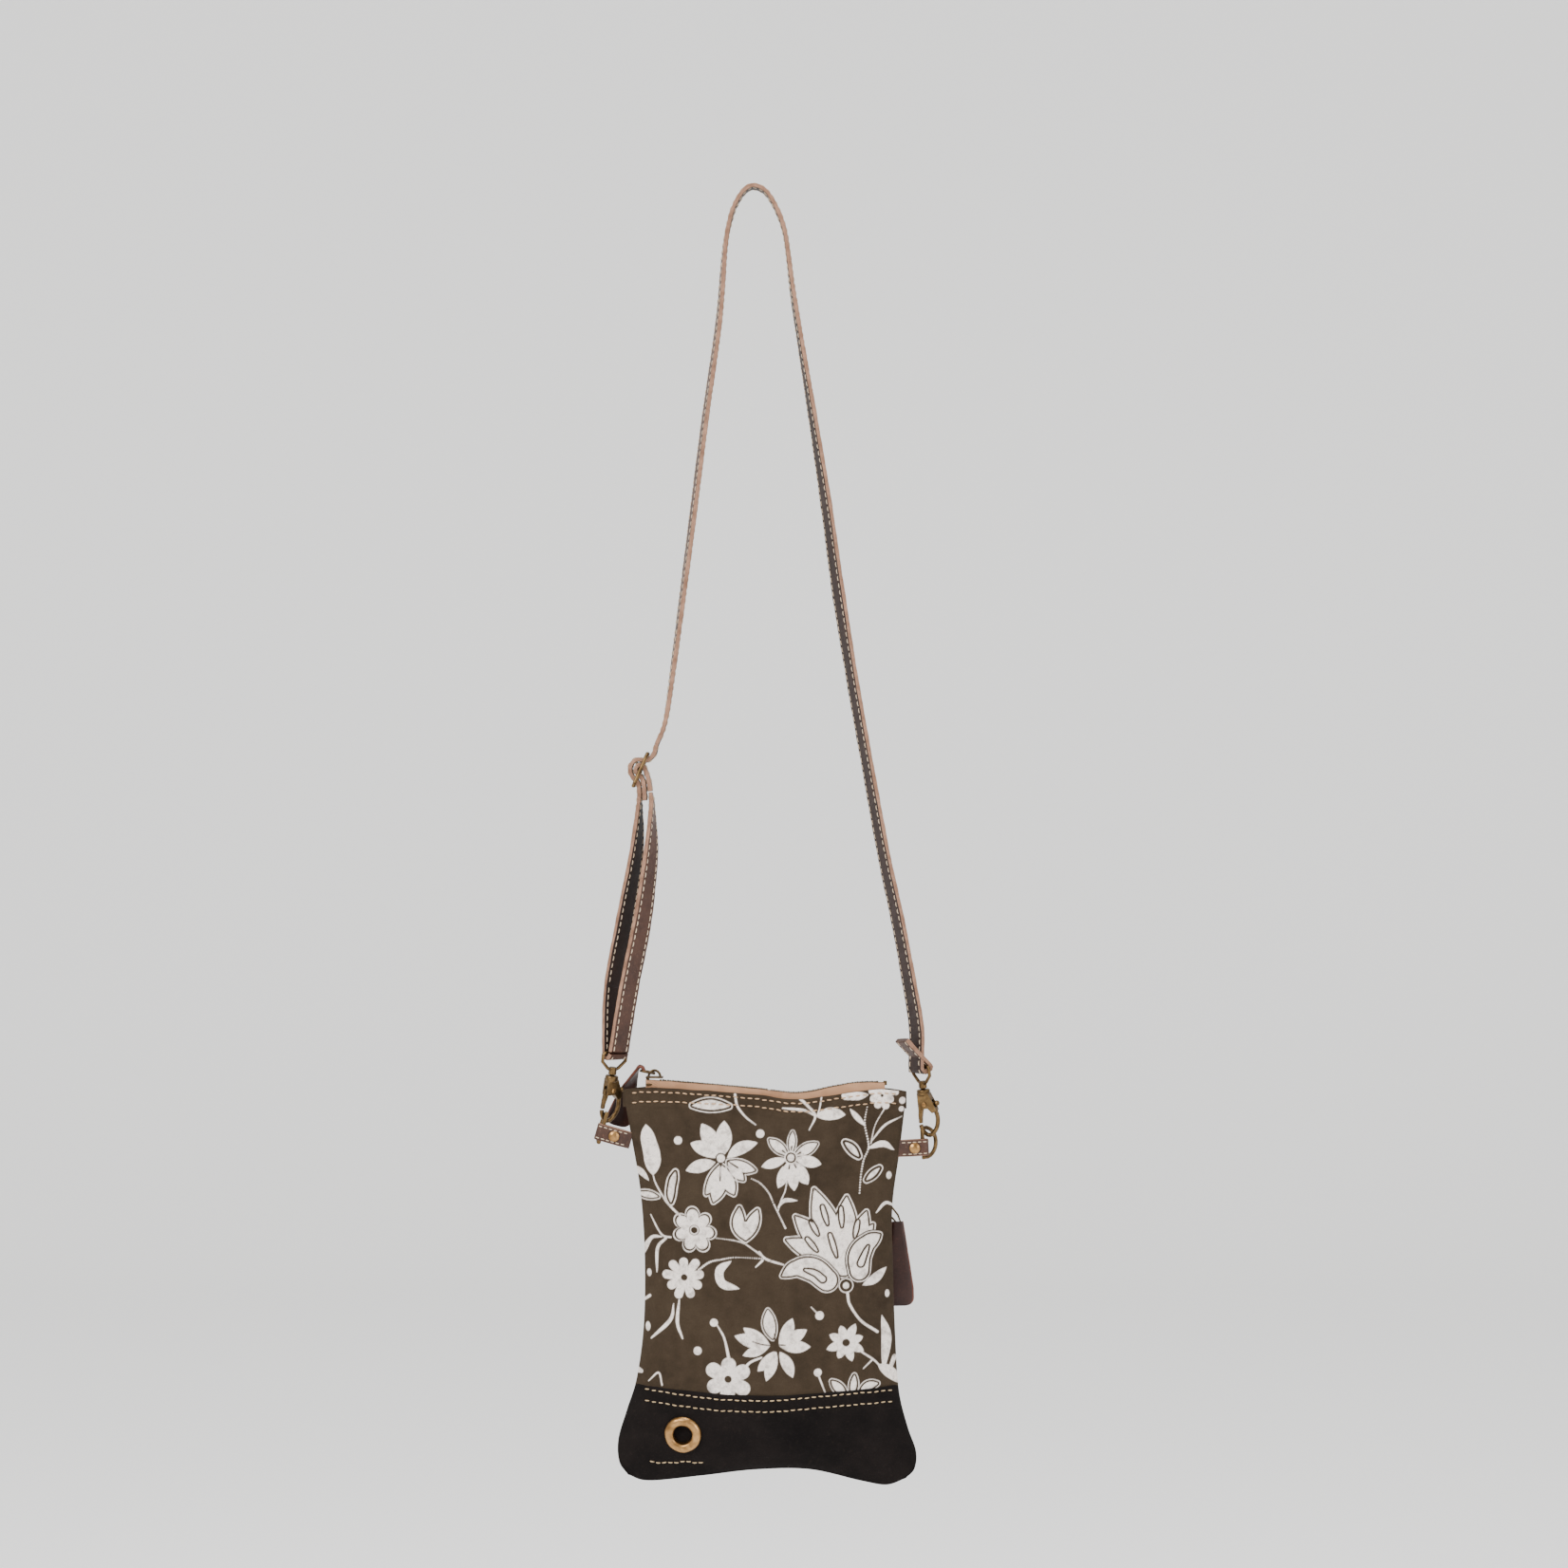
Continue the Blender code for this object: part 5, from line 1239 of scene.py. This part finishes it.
RIGHT_RISE = [(92.2, 2.6, -478, -30), (87.8, 1.5, -450.4, -28), (81.4, 0.8, -416, -26),
              (73.4, 0, -378.5, -24),
              (64.6, 0, -330, -22), (55.6, 0, -279.2, -22), (47.5, 0, -228.4, -24), (41, 0, -181.4, -20),
              (34.2, 0, -137, -14), (27.6, 0, -96, -8), (21.9, 0, -59.9, -4), (19.2, 0, -38, 0),
              (17.0, 0, -24, 0), (13.0, 0, -12.5, 0), (6.8, 0, -2.2, 0)]
INNER_LEG = [(-71.2, -4.4, -454, 47), (-63.6, -3.2, -415, 42), (-59.0, -1.6, -378, 28),
             (-58.4, -0.4, -352, 4),
             (-59.1, 0, -343.6, 0)]
SEWN_END = [(-59.25, 0, -342.8, 0), (-60.2, 0, -336.5, 0), (-61.8, 0, -331.5, 0), (-63.4, 0, -328.2, 0),
            (-66.0, 0, -328.0, 0), (-67.6, 0, -330.4, 0), (-66.6, 0, -332.8, 0), (-64.3, 0, -334.8, 0),
            (-62.9, 0, -339, 0), (-62.3, 0, -348, 0)]
LEFT_EYE, RIGHT_EYE = Vector((-79.6, 1.0, -493.0)), Vector((94.2, 1.0, -497.0))
LEFT_EYE_YAW, RIGHT_EYE_YAW = math.radians(43), math.radians(-60)
LEFT_RING_YAW, RIGHT_RING_YAW = math.radians(98), math.radians(48)
EYE_BAR, EYE_WIRE = 41.3, 1.05
RING_LIFT = 2.5
HOOK_WIRE = 1.35


def ring_bar(tab, side):
    root, end = Vector(tab[0]), Vector(tab[1])
    slope = math.atan2(end.z - root.z, side * (end.x - root.x))
    run = Vector((side * math.cos(slope), 0, math.sin(slope)))
    up = Vector((-side * math.sin(slope), 0, math.cos(slope)))
    return root + run * ((end - root).length - 0.2) + up * RING_LIFT, run, up


def hook_axis(tab, side, ring_yaw, eye):
    """Where a hook's origin lies under its bow, and its swivel axis."""
    bar, _, up = ring_bar(tab, side)
    heading = Vector((math.cos(ring_yaw), math.sin(ring_yaw), 0))
    heading = (heading - up * heading.dot(up)).normalized()
    bottom = bar + heading * 5.8 + up * 7.75 - Vector((0, 0, 1)) * (RING_WIRE + 2 * HOOK_WIRE + 1.4)
    return bottom, (eye - bottom).normalized()


def eye_axes(tab, side, ring_yaw, eye, eye_yaw):
    """The strap eye's bar: its middle, the way it runs, the way across it and the way up."""
    bottom, up = hook_axis(tab, side, ring_yaw, eye)
    across = up.cross(Vector((math.cos(eye_yaw), math.sin(eye_yaw), 0))).normalized()
    run = across.cross(up)
    return bottom + up * EYE_BAR, run, across, up


def u_turn(eye):
    """Route points where the strap goes under an eye's bar, from one side of it to the other."""
    centre, run, across, up = eye
    turn = math.degrees(math.atan2(run.x, run.y))
    turn = (turn + 90) % 180 - 90
    radius = EYE_WIRE + 2.6 / 2 + 0.6
    points = []
    for degrees in (0, 45, 90, 135, 180):
        a = math.radians(degrees)
        at = centre + across * (radius * math.cos(a)) - up * (radius * math.sin(a))
        points.append((*at, turn))
    return points


LEFT_BAR = eye_axes(LEFT_TAB, -1, LEFT_RING_YAW, LEFT_EYE, LEFT_EYE_YAW)
RIGHT_BAR = eye_axes(RIGHT_TAB, 1, RIGHT_RING_YAW, RIGHT_EYE, RIGHT_EYE_YAW)
LONG_ROUTE = RIGHT_FALL + u_turn(RIGHT_BAR) + RIGHT_RISE + LEFT_FALL + u_turn(LEFT_BAR)
LEFT_FOOT = u_turn(LEFT_BAR)[-1]
INNER_ROUTE = [(LEFT_FOOT[0], LEFT_FOOT[1], LEFT_FOOT[2] + 0.9, LEFT_FOOT[3])] + INNER_LEG


class Band:
    """A flat strap along a route: its middle, the way its width lies and the way its face looks."""

    def __init__(self, route, samples):
        table = curve(route, samples)
        self.at, turn = table[:, :3], np.radians(table[:, 3])
        self.run = np.gradient(self.at, axis=0)
        self.run /= np.linalg.norm(self.run, axis=1, keepdims=True)
        side = np.stack([np.sin(turn), np.cos(turn), np.zeros_like(turn)], axis=-1)
        side -= self.run * (side * self.run).sum(1, keepdims=True)
        self.side = side / np.linalg.norm(side, axis=1, keepdims=True)
        self.inner = np.cross(self.run, self.side)
        self.length = np.r_[0, np.cumsum(np.linalg.norm(np.diff(self.at, axis=0), axis=1))]

    def station(self, s):
        """at, run, side and inner at distances s along the route."""
        values = []
        for table in (self.at, self.run, self.side, self.inner):
            values.append(np.stack([np.interp(s, self.length, table[:, k]) for k in range(3)], axis=-1))
        return values

    def where(self, z, after=0.0, falling=True):
        """The first distance past after at which the route crosses a height."""
        heights = self.at[:, 2]
        crossed = (heights < z) if falling else (heights > z)
        return float(self.length[np.argmax(crossed & (self.length > after))])


def strap_profile():
    """Points round the strap's section, as (across, through, paint): 0 outer face, 1 edge, 2 inner face,
    painted darker as shade.
    """
    across = [-6.3, -5.6, -5.05, -4.7, -4.35, -3.8, -2.6, -1.2, 0.0, 1.2, 2.6, 3.8, 4.35, 4.7, 5.05, 5.6, 6.3]
    section = [(x, STRAP_DEEP - face_sink(x), 0) for x in across]
    section += [(6.6, 1.05, 1), (6.75, 0.6, 1), (6.72, 0.12, 1), (6.6, 0.0, 1), (6.72, -0.12, 1),
                (6.75, -0.6, 1),
                (6.6, -1.05, 1)]
    section += [(-x, -STRAP_DEEP + face_sink(x), 2) for x in across]
    section += [(-6.6, -1.05, 1), (-6.75, -0.6, 1), (-6.72, -0.12, 1), (-6.6, 0.0, 1), (-6.72, 0.12, 1),
                (-6.75, 0.6, 1), (-6.6, 1.05, 1)]
    return section


def face_sink(x):
    """The face is drawn in along its stitch lines and falls away to its edges."""
    return 0.28 * math.exp(-((abs(x) - 4.7) / 0.38) ** 2) + 0.12 * max(abs(x) - 5.6, 0)


PROFILE = strap_profile()


def strap_length(name, band, start, end, body, *nodes, outer=STRAP_FACE, inner=STRAP_BACK_SHADED, step=1.1):
    """A stretch of strap with slight waves in its edges and thickness, and its four rows of stitches."""
    s = np.linspace(start, end, max(int((end - start) / step), 8))
    at, run, side, inward = band.station(s)
    wide = 1 + 0.012 * np.sin(s * 0.11) + 0.010 * np.sin(s * 0.37 + 1.2)
    thick = 1 + 0.06 * np.sin(s * 0.23 + 0.7) + 0.05 * np.sin(s * 0.71)
    across = np.array([p[0] for p in PROFILE])[None, :, None] * wide[:, None, None]
    through = np.array([p[1] for p in PROFILE])[None, :, None] * thick[:, None, None]
    stitch_bite = 0.05 * np.sin(2 * math.pi * s / 4.0)[:, None, None] * (np.abs(np.abs(across) - 4.7) < 0.5)
    sunk = through - np.sign(through) * stitch_bite
    points = at[:, None, :] + side[:, None, :] * across - inward[:, None, :] * sunk
    bands = [p[2] for p in PROFILE]
    made = surface(name, *np.moveaxis(points, -1, 0), outer, RAW_EDGE, inner, bands=bands, closed=True)
    close_ends(made, len(s), len(PROFILE))
    attach(made, body, "strap_leather", *nodes)
    rows = []
    at, run, side, inward = band.station(np.arange(start + 2.0, end - 1.5, 4.0))
    for place in (-4.7, 4.7):
        for face in (-1, 1):
            rows.append((at + side * place + inward * (face * (STRAP_DEEP - 0.14)), run, inward * face))
    at, run, out = (np.concatenate([row[k] for row in rows]) for k in range(3))
    thread = stitches(f"{name}_stitches", at, run, out, STRAP_THREAD, 2.9, 0.34, 0.02)
    attach(thread, body, "strap_leather")
    return [made, thread]


def point(band, s):
    return tuple(float(k) * MM for k in band.station(np.array([s]))[0][0])


def make_strap():
    """The strap in five lengths: those that the adjuster takes up, between it and the rest, go on no body."""
    band = Band(LONG_ROUTE, 2600)
    top = float(band.length[np.argmax(band.at[:, 2])])
    upper = band.where(-250, top)
    wrap = band.where(-316, upper)
    leg = band.where(-345, wrap)
    foot = band.where(-454, leg)
    strap_length("strap_loop", band, 0, upper, "strap", "shoulder_strap")
    for name, start, end, first, second in (("strap_slip", upper, wrap, "strap", "adjuster"),
                                            ("strap_outer_leg", leg, foot, "adjuster", "strap")):
        for piece in strap_length(name, band, start, end, None, "shoulder_strap"):
            point(band, start)
            point(band, end)
            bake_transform(piece)
    strap_length("strap_bar_wrap", band, wrap, leg, "adjuster", "shoulder_strap", step=0.6)
    strap_length("strap_foot", band, foot, float(band.length[-1]), "strap", "shoulder_strap", step=0.6)
    inner = Band(INNER_ROUTE, 1200)
    for piece in strap_length("strap_return_leg", inner, 0, float(inner.length[-1]), None, "strap_inner_leg"):
        point(inner, 30)
        point(inner, float(inner.length[-1]))
        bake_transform(piece)
    sewn = Band(SEWN_END, 700)
    strap_length("strap_turned_end", sewn, 0, float(sewn.length[-1]), "adjuster", "strap_sewn_end", step=0.5)


# ------------------------------------------------------------------ zips, puller and tags
CHAIN_HALF, CHAIN_DEEP, TOOTH_PITCH = 2.6, 1.1, 2.8
SLIDER_X = -57.0


def zip_height(x):
    return np.interp(x, ZIP[:, 0], ZIP[:, 1])


def make_tape(name, side, start, end):
    """Half of the main zip's tape: flat beside the teeth, then over the hem and down inside the bag."""
    section = curve([(-1.3, 0.0), (-2.6, 0.1), (-4.0, 0.0), (-4.5, -0.8), (-4.7, -2.5), (-4.75, -7.5)], 40)
    x = np.linspace(start, end, int(abs(end - start) / 0.45))[:, None]
    wave = 0.10 * np.sin(x * 0.5) + 0.12 * np.sin(x * 0.17 + side)
    y = side * np.abs(section[None, :, 0]) * np.ones_like(x)
    shut = np.clip((x + 64) / 9, 0.35, 1) * np.clip((84 - x) / 9, 0.35, 1)
    y = y * shut
    z = zip_height(x) + section[None, :, 1] + wave * np.abs(section[None, :, 0]) / 4
    grid = [np.broadcast_to(k, (x.shape[0], section.shape[0])) for k in (x, y, z)]
    tape = surface(name, *grid, TAPE)
    solid = tape.modifiers.new("cloth", "SOLIDIFY")
    solid.thickness = 0.45 * MM
    solid.offset = 0
    return tape


def make_teeth(name, first, last, side, height_at, place=None, depth=0.0, pitch=TOOTH_PITCH):
    """One side's teeth: small brass blocks clamped on the tape's edge, each reaching across the middle."""
    mesh = bmesh.new()
    count = int((last - first) / pitch)
    for k in range(count):
        x = first + pitch * (k + (0.0 if side < 0 else 0.5)) + 0.6
        made = bmesh.ops.create_cube(mesh, size=1.0)["verts"]
        for vert in made:
            reach = 0.75 if (vert.co.y > 0) == (side < 0) else CHAIN_HALF
            narrow = 0.85 if (vert.co.y > 0) == (side < 0) else 1.25
            y = side * (-reach if (vert.co.y > 0) == (side < 0) else reach)
            z = vert.co.z * 2 * CHAIN_DEEP * 0.92 + float(height_at(x)) + depth
            vert.co = Vector((x + vert.co.x * narrow, y, z))
    bmesh.ops.bevel(mesh, geom=list(mesh.edges), offset=0.16, segments=2, affect="EDGES", profile=0.6)
    mesh.transform(place or Matrix.Identity(4))
    mesh.transform(Matrix.Diagonal((MM, MM, MM, 1)))
    bmesh.ops.recalc_face_normals(mesh, faces=mesh.faces)
    data = bpy.data.meshes.new(name)
    mesh.to_mesh(data)
    mesh.free()
    data.shade_smooth()
    return add(name, data, DARK_BRASS)


def make_main_zip():
    tapes = []
    for side, word in ((-1, "front"), (1, "rear")):
        for half, start, end in (("left", ZIP_LEFT - 8, 9.0), ("right", 9.0, ZIP_RIGHT + 2)):
            pieces = []
            tape = make_tape(f"{word}_tape_{half}", side, start, end)
            tapes.append(attach(tape, None, "zip_tape", f"{word}_zip_tape"))
            pieces.append(tape)
            first = max(start, ZIP_LEFT)
            teeth = make_teeth(f"{word}_teeth_{half}", first, min(end, ZIP_RIGHT - 1), side, zip_height)
            pieces.append(attach(teeth, None, "antique_brass", f"{word}_zip_teeth"))
            for piece in pieces:
                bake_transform(piece)
    return tapes


def leather_tag(name, route, sides, width, thick, node, body, dent=0.0):
    """A tag of folded leather: rounded corners, stitched edge grooves and a burnished rim."""
    samples = 150
    path = curve(route, samples)
    run = np.gradient(path, axis=0)
    run /= np.linalg.norm(run, axis=1, keepdims=True)
    t = np.linspace(0, 1, samples)
    side = sides(t)
    side -= run * (side * run).sum(1, keepdims=True)
    side /= np.linalg.norm(side, axis=1, keepdims=True)
    out = np.cross(run, side)
    half = width(t) / 2
    end = (1 - t) * np.linalg.norm(np.diff(path, axis=0), axis=1).sum()
    corner = 4.6
    half = half - np.where(end < corner, corner - np.sqrt(np.maximum(corner**2 - (corner - end) ** 2, 0)), 0)
    across = np.concatenate([np.linspace(-1, 1, 21), np.linspace(1, -1, 21)[1:-1]])
    top = np.concatenate([np.ones(21), -np.ones(19)])
    edge = np.sqrt(np.maximum(1 - np.abs(across) ** 8, 0.0))
    groove = 0.16 * np.exp(-((np.abs(across) - 0.8) / 0.06) ** 2)
    through = top * (thick / 2 * np.maximum(edge, 0.12) - groove)
    lump = dent * np.sin(t * 9 + 0.6)[:, None] * np.cos(across * 1.6)[None, :]
    points = (path[:, None, :] + side[:, None, :] * (half[:, None] * across[None, :])[..., None]
              + out[:, None, :] * (through[None, :] + lump)[..., None])
    bands = [1 if abs(a) > 0.9 else 0 for a in across]
    tag = surface(name, *np.moveaxis(points, -1, 0), PULLER_LEATHER, EDGE_LEATHER, bands=bands, closed=True)
    close_ends(tag, samples, len(across))
    return attach(tag, body, "brown_leather", node)


def make_puller():
    route = [(2.1, 0, -0.6), (1.2, 0, 1.9), (-0.9, 0.6, 2.3), (-3.0, 4.5, -0.8), (-5.4, 9.0, -6.5),
             (-8.0, 12.6, -13.0), (-11.0, 14.2, -22.0), (-14.0, 14.8, -32.5)]
    bar = np.array([SLIDER_X - 7.8, 0, float(zip_height(SLIDER_X)) + 5.7])

    def sides(t):
        a = np.clip((t - 0.15) / 0.4, 0, 1) * 1.3
        return np.stack([np.sin(a), np.cos(a), -0.35 * np.sin(a)], axis=-1)

    def width(t):
        return 3.6 + 11.4 * np.clip((t - 0.12) / 0.75, 0, 1)

    leather_tag("main_puller_tag", [tuple(bar + np.array(p)) for p in route], sides, width, 1.9,
                "main_leather_puller", "main_puller", dent=0.25)


def make_pocket():
    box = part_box("pocket_upper_tape")
    face = (box[0][1] + box[1][1]) / 2 / MM
    for word, side in (("upper", 1), ("lower", -1)):
        low, high = sorted((side * (CHAIN_HALF - 1.2), side * (POCKET_SLOT_HALF + 2.4)))
        x, z = np.meshgrid(np.linspace(POCKET_LEFT - 4, POCKET_RIGHT + 4, 240), np.linspace(low, high, 14))
        depth = face - 0.25 * np.abs(z) / 4 + 0.05 * np.sin(x * 0.4)
        tape = surface(f"pocket_{word}_tape_cloth", x, depth, z + POCKET_Z, TAPE)
        face_out(tape, 1)
        attach(tape, f"pocket_{word}_half", "zip_tape", f"pocket_{word}_tape")
        place = Matrix(((1, 0, 0, 0), (0, 0, 1, face), (0, -1, 0, POCKET_Z), (0, 0, 0, 1)))
        teeth = make_teeth(f"pocket_{word}_teeth_row", POCKET_LEFT, 62.0, -side, lambda x: 0.0, place)
        attach(teeth, f"pocket_{word}_half", "antique_brass", f"pocket_{word}_teeth")
    return face


def make_pocket_tag(face):
    top = np.array([62.0 + 19.6, face + 4.2 + 3.2, POCKET_Z - 13.6])
    route = [tuple(top + np.array(p)) for p in
             ((0.3, 0, 1.2), (0.4, -0.1, -3), (0.5, -0.2, -8), (0.6, -0.4, -16), (0.9, -0.6, -30),
              (1.2, -0.6, -47))]
    leather_tag("pocket_pull_tag", route, lambda t: np.stack([np.ones_like(t), 0 * t, 0 * t], axis=-1),
                lambda t: 6.5 + 10.5 * np.clip(t / 0.8, 0, 1), 1.9, "pocket_leather_tag", "pocket_tag",
                dent=0.12)


# ------------------------------------------------------------------ side tabs
def make_side_tab(word, side, tab):
    """A strip of leather folded round the ring's bar, sewn into the side seam and stitched at its edges."""
    root, end = Vector(tab[0]), Vector(tab[1])
    _, run, up = ring_bar(tab, side)
    reach = (end - root).length
    turn = RING_WIRE + TAB_THICK / 2 + 0.4
    total = 2 * reach + math.pi * turn
    s = np.linspace(-3.0, total + 3.0, 120)
    a = np.clip((s - reach) / turn, 0, math.pi)
    back = np.where(s > reach + math.pi * turn, total - s, reach + turn * np.sin(a))
    forward = np.where(s < reach, s, back)
    off = -turn * np.cos(a)
    pinch = np.clip(0.45 + forward / 7, 0.1, 1)
    middle = (np.array(root) + forward[:, None] * np.array(run)
        + np.stack([0 * s, off * pinch, 0 * s], axis=-1))
    tangent = np.gradient(middle, axis=0)
    tangent /= np.linalg.norm(tangent, axis=1, keepdims=True)
    out = np.cross(tangent, np.array(up))
    across = np.array([p[0] for p in PROFILE]) / STRAP_HALF * TAB_WIDTH / 2
    through = np.array([p[1] for p in PROFILE]) / STRAP_DEEP * TAB_THICK / 2
    points = (middle[:, None, :] + np.array(up)[None, None, :] * across[None, :, None]
              + out[:, None, :] * through[None, :, None])
    strip = surface(f"{word}_tab_strip", *np.moveaxis(points, -1, 0), TAB_LEATHER, RAW_EDGE,
                    TAB_LEATHER, bands=[p[2] for p in PROFILE], closed=True)
    close_ends(strip, len(s), len(PROFILE))
    attach(strip, "bag", "brown_leather", f"{word}_side_tab")
    places = [k for k in np.arange(1.2, total - 1.0, 2.9)]
    keep = [min(range(len(s)), key=lambda k: abs(s[k] - place)) for place in places]
    rows = []
    for edge in (-3.3, 3.3):
        at = middle[keep] + np.array(up) * edge
        for face in (-1, 1):
            rows.append((at + out[keep] * face * (TAB_THICK / 2 - 0.05), tangent[keep], out[keep] * face))
    at, run_at, out_at = (np.concatenate([row[k] for row in rows]) for k in range(3))
    thread = stitches(f"{word}_tab_stitches", at, run_at, out_at, STRAP_THREAD, 2.1, 0.3, 0.0)
    attach(thread, "bag", "strap_leather")


make_stage()
make_light()
make_camera()
BAG = make_bag()
make_metal()
make_strap()
ZIP_TAPES = make_main_zip()
make_puller()
POCKET_FACE = make_pocket()
make_pocket_tag(POCKET_FACE)
make_side_tab("left", -1, LEFT_TAB)
make_side_tab("right", 1, RIGHT_TAB)
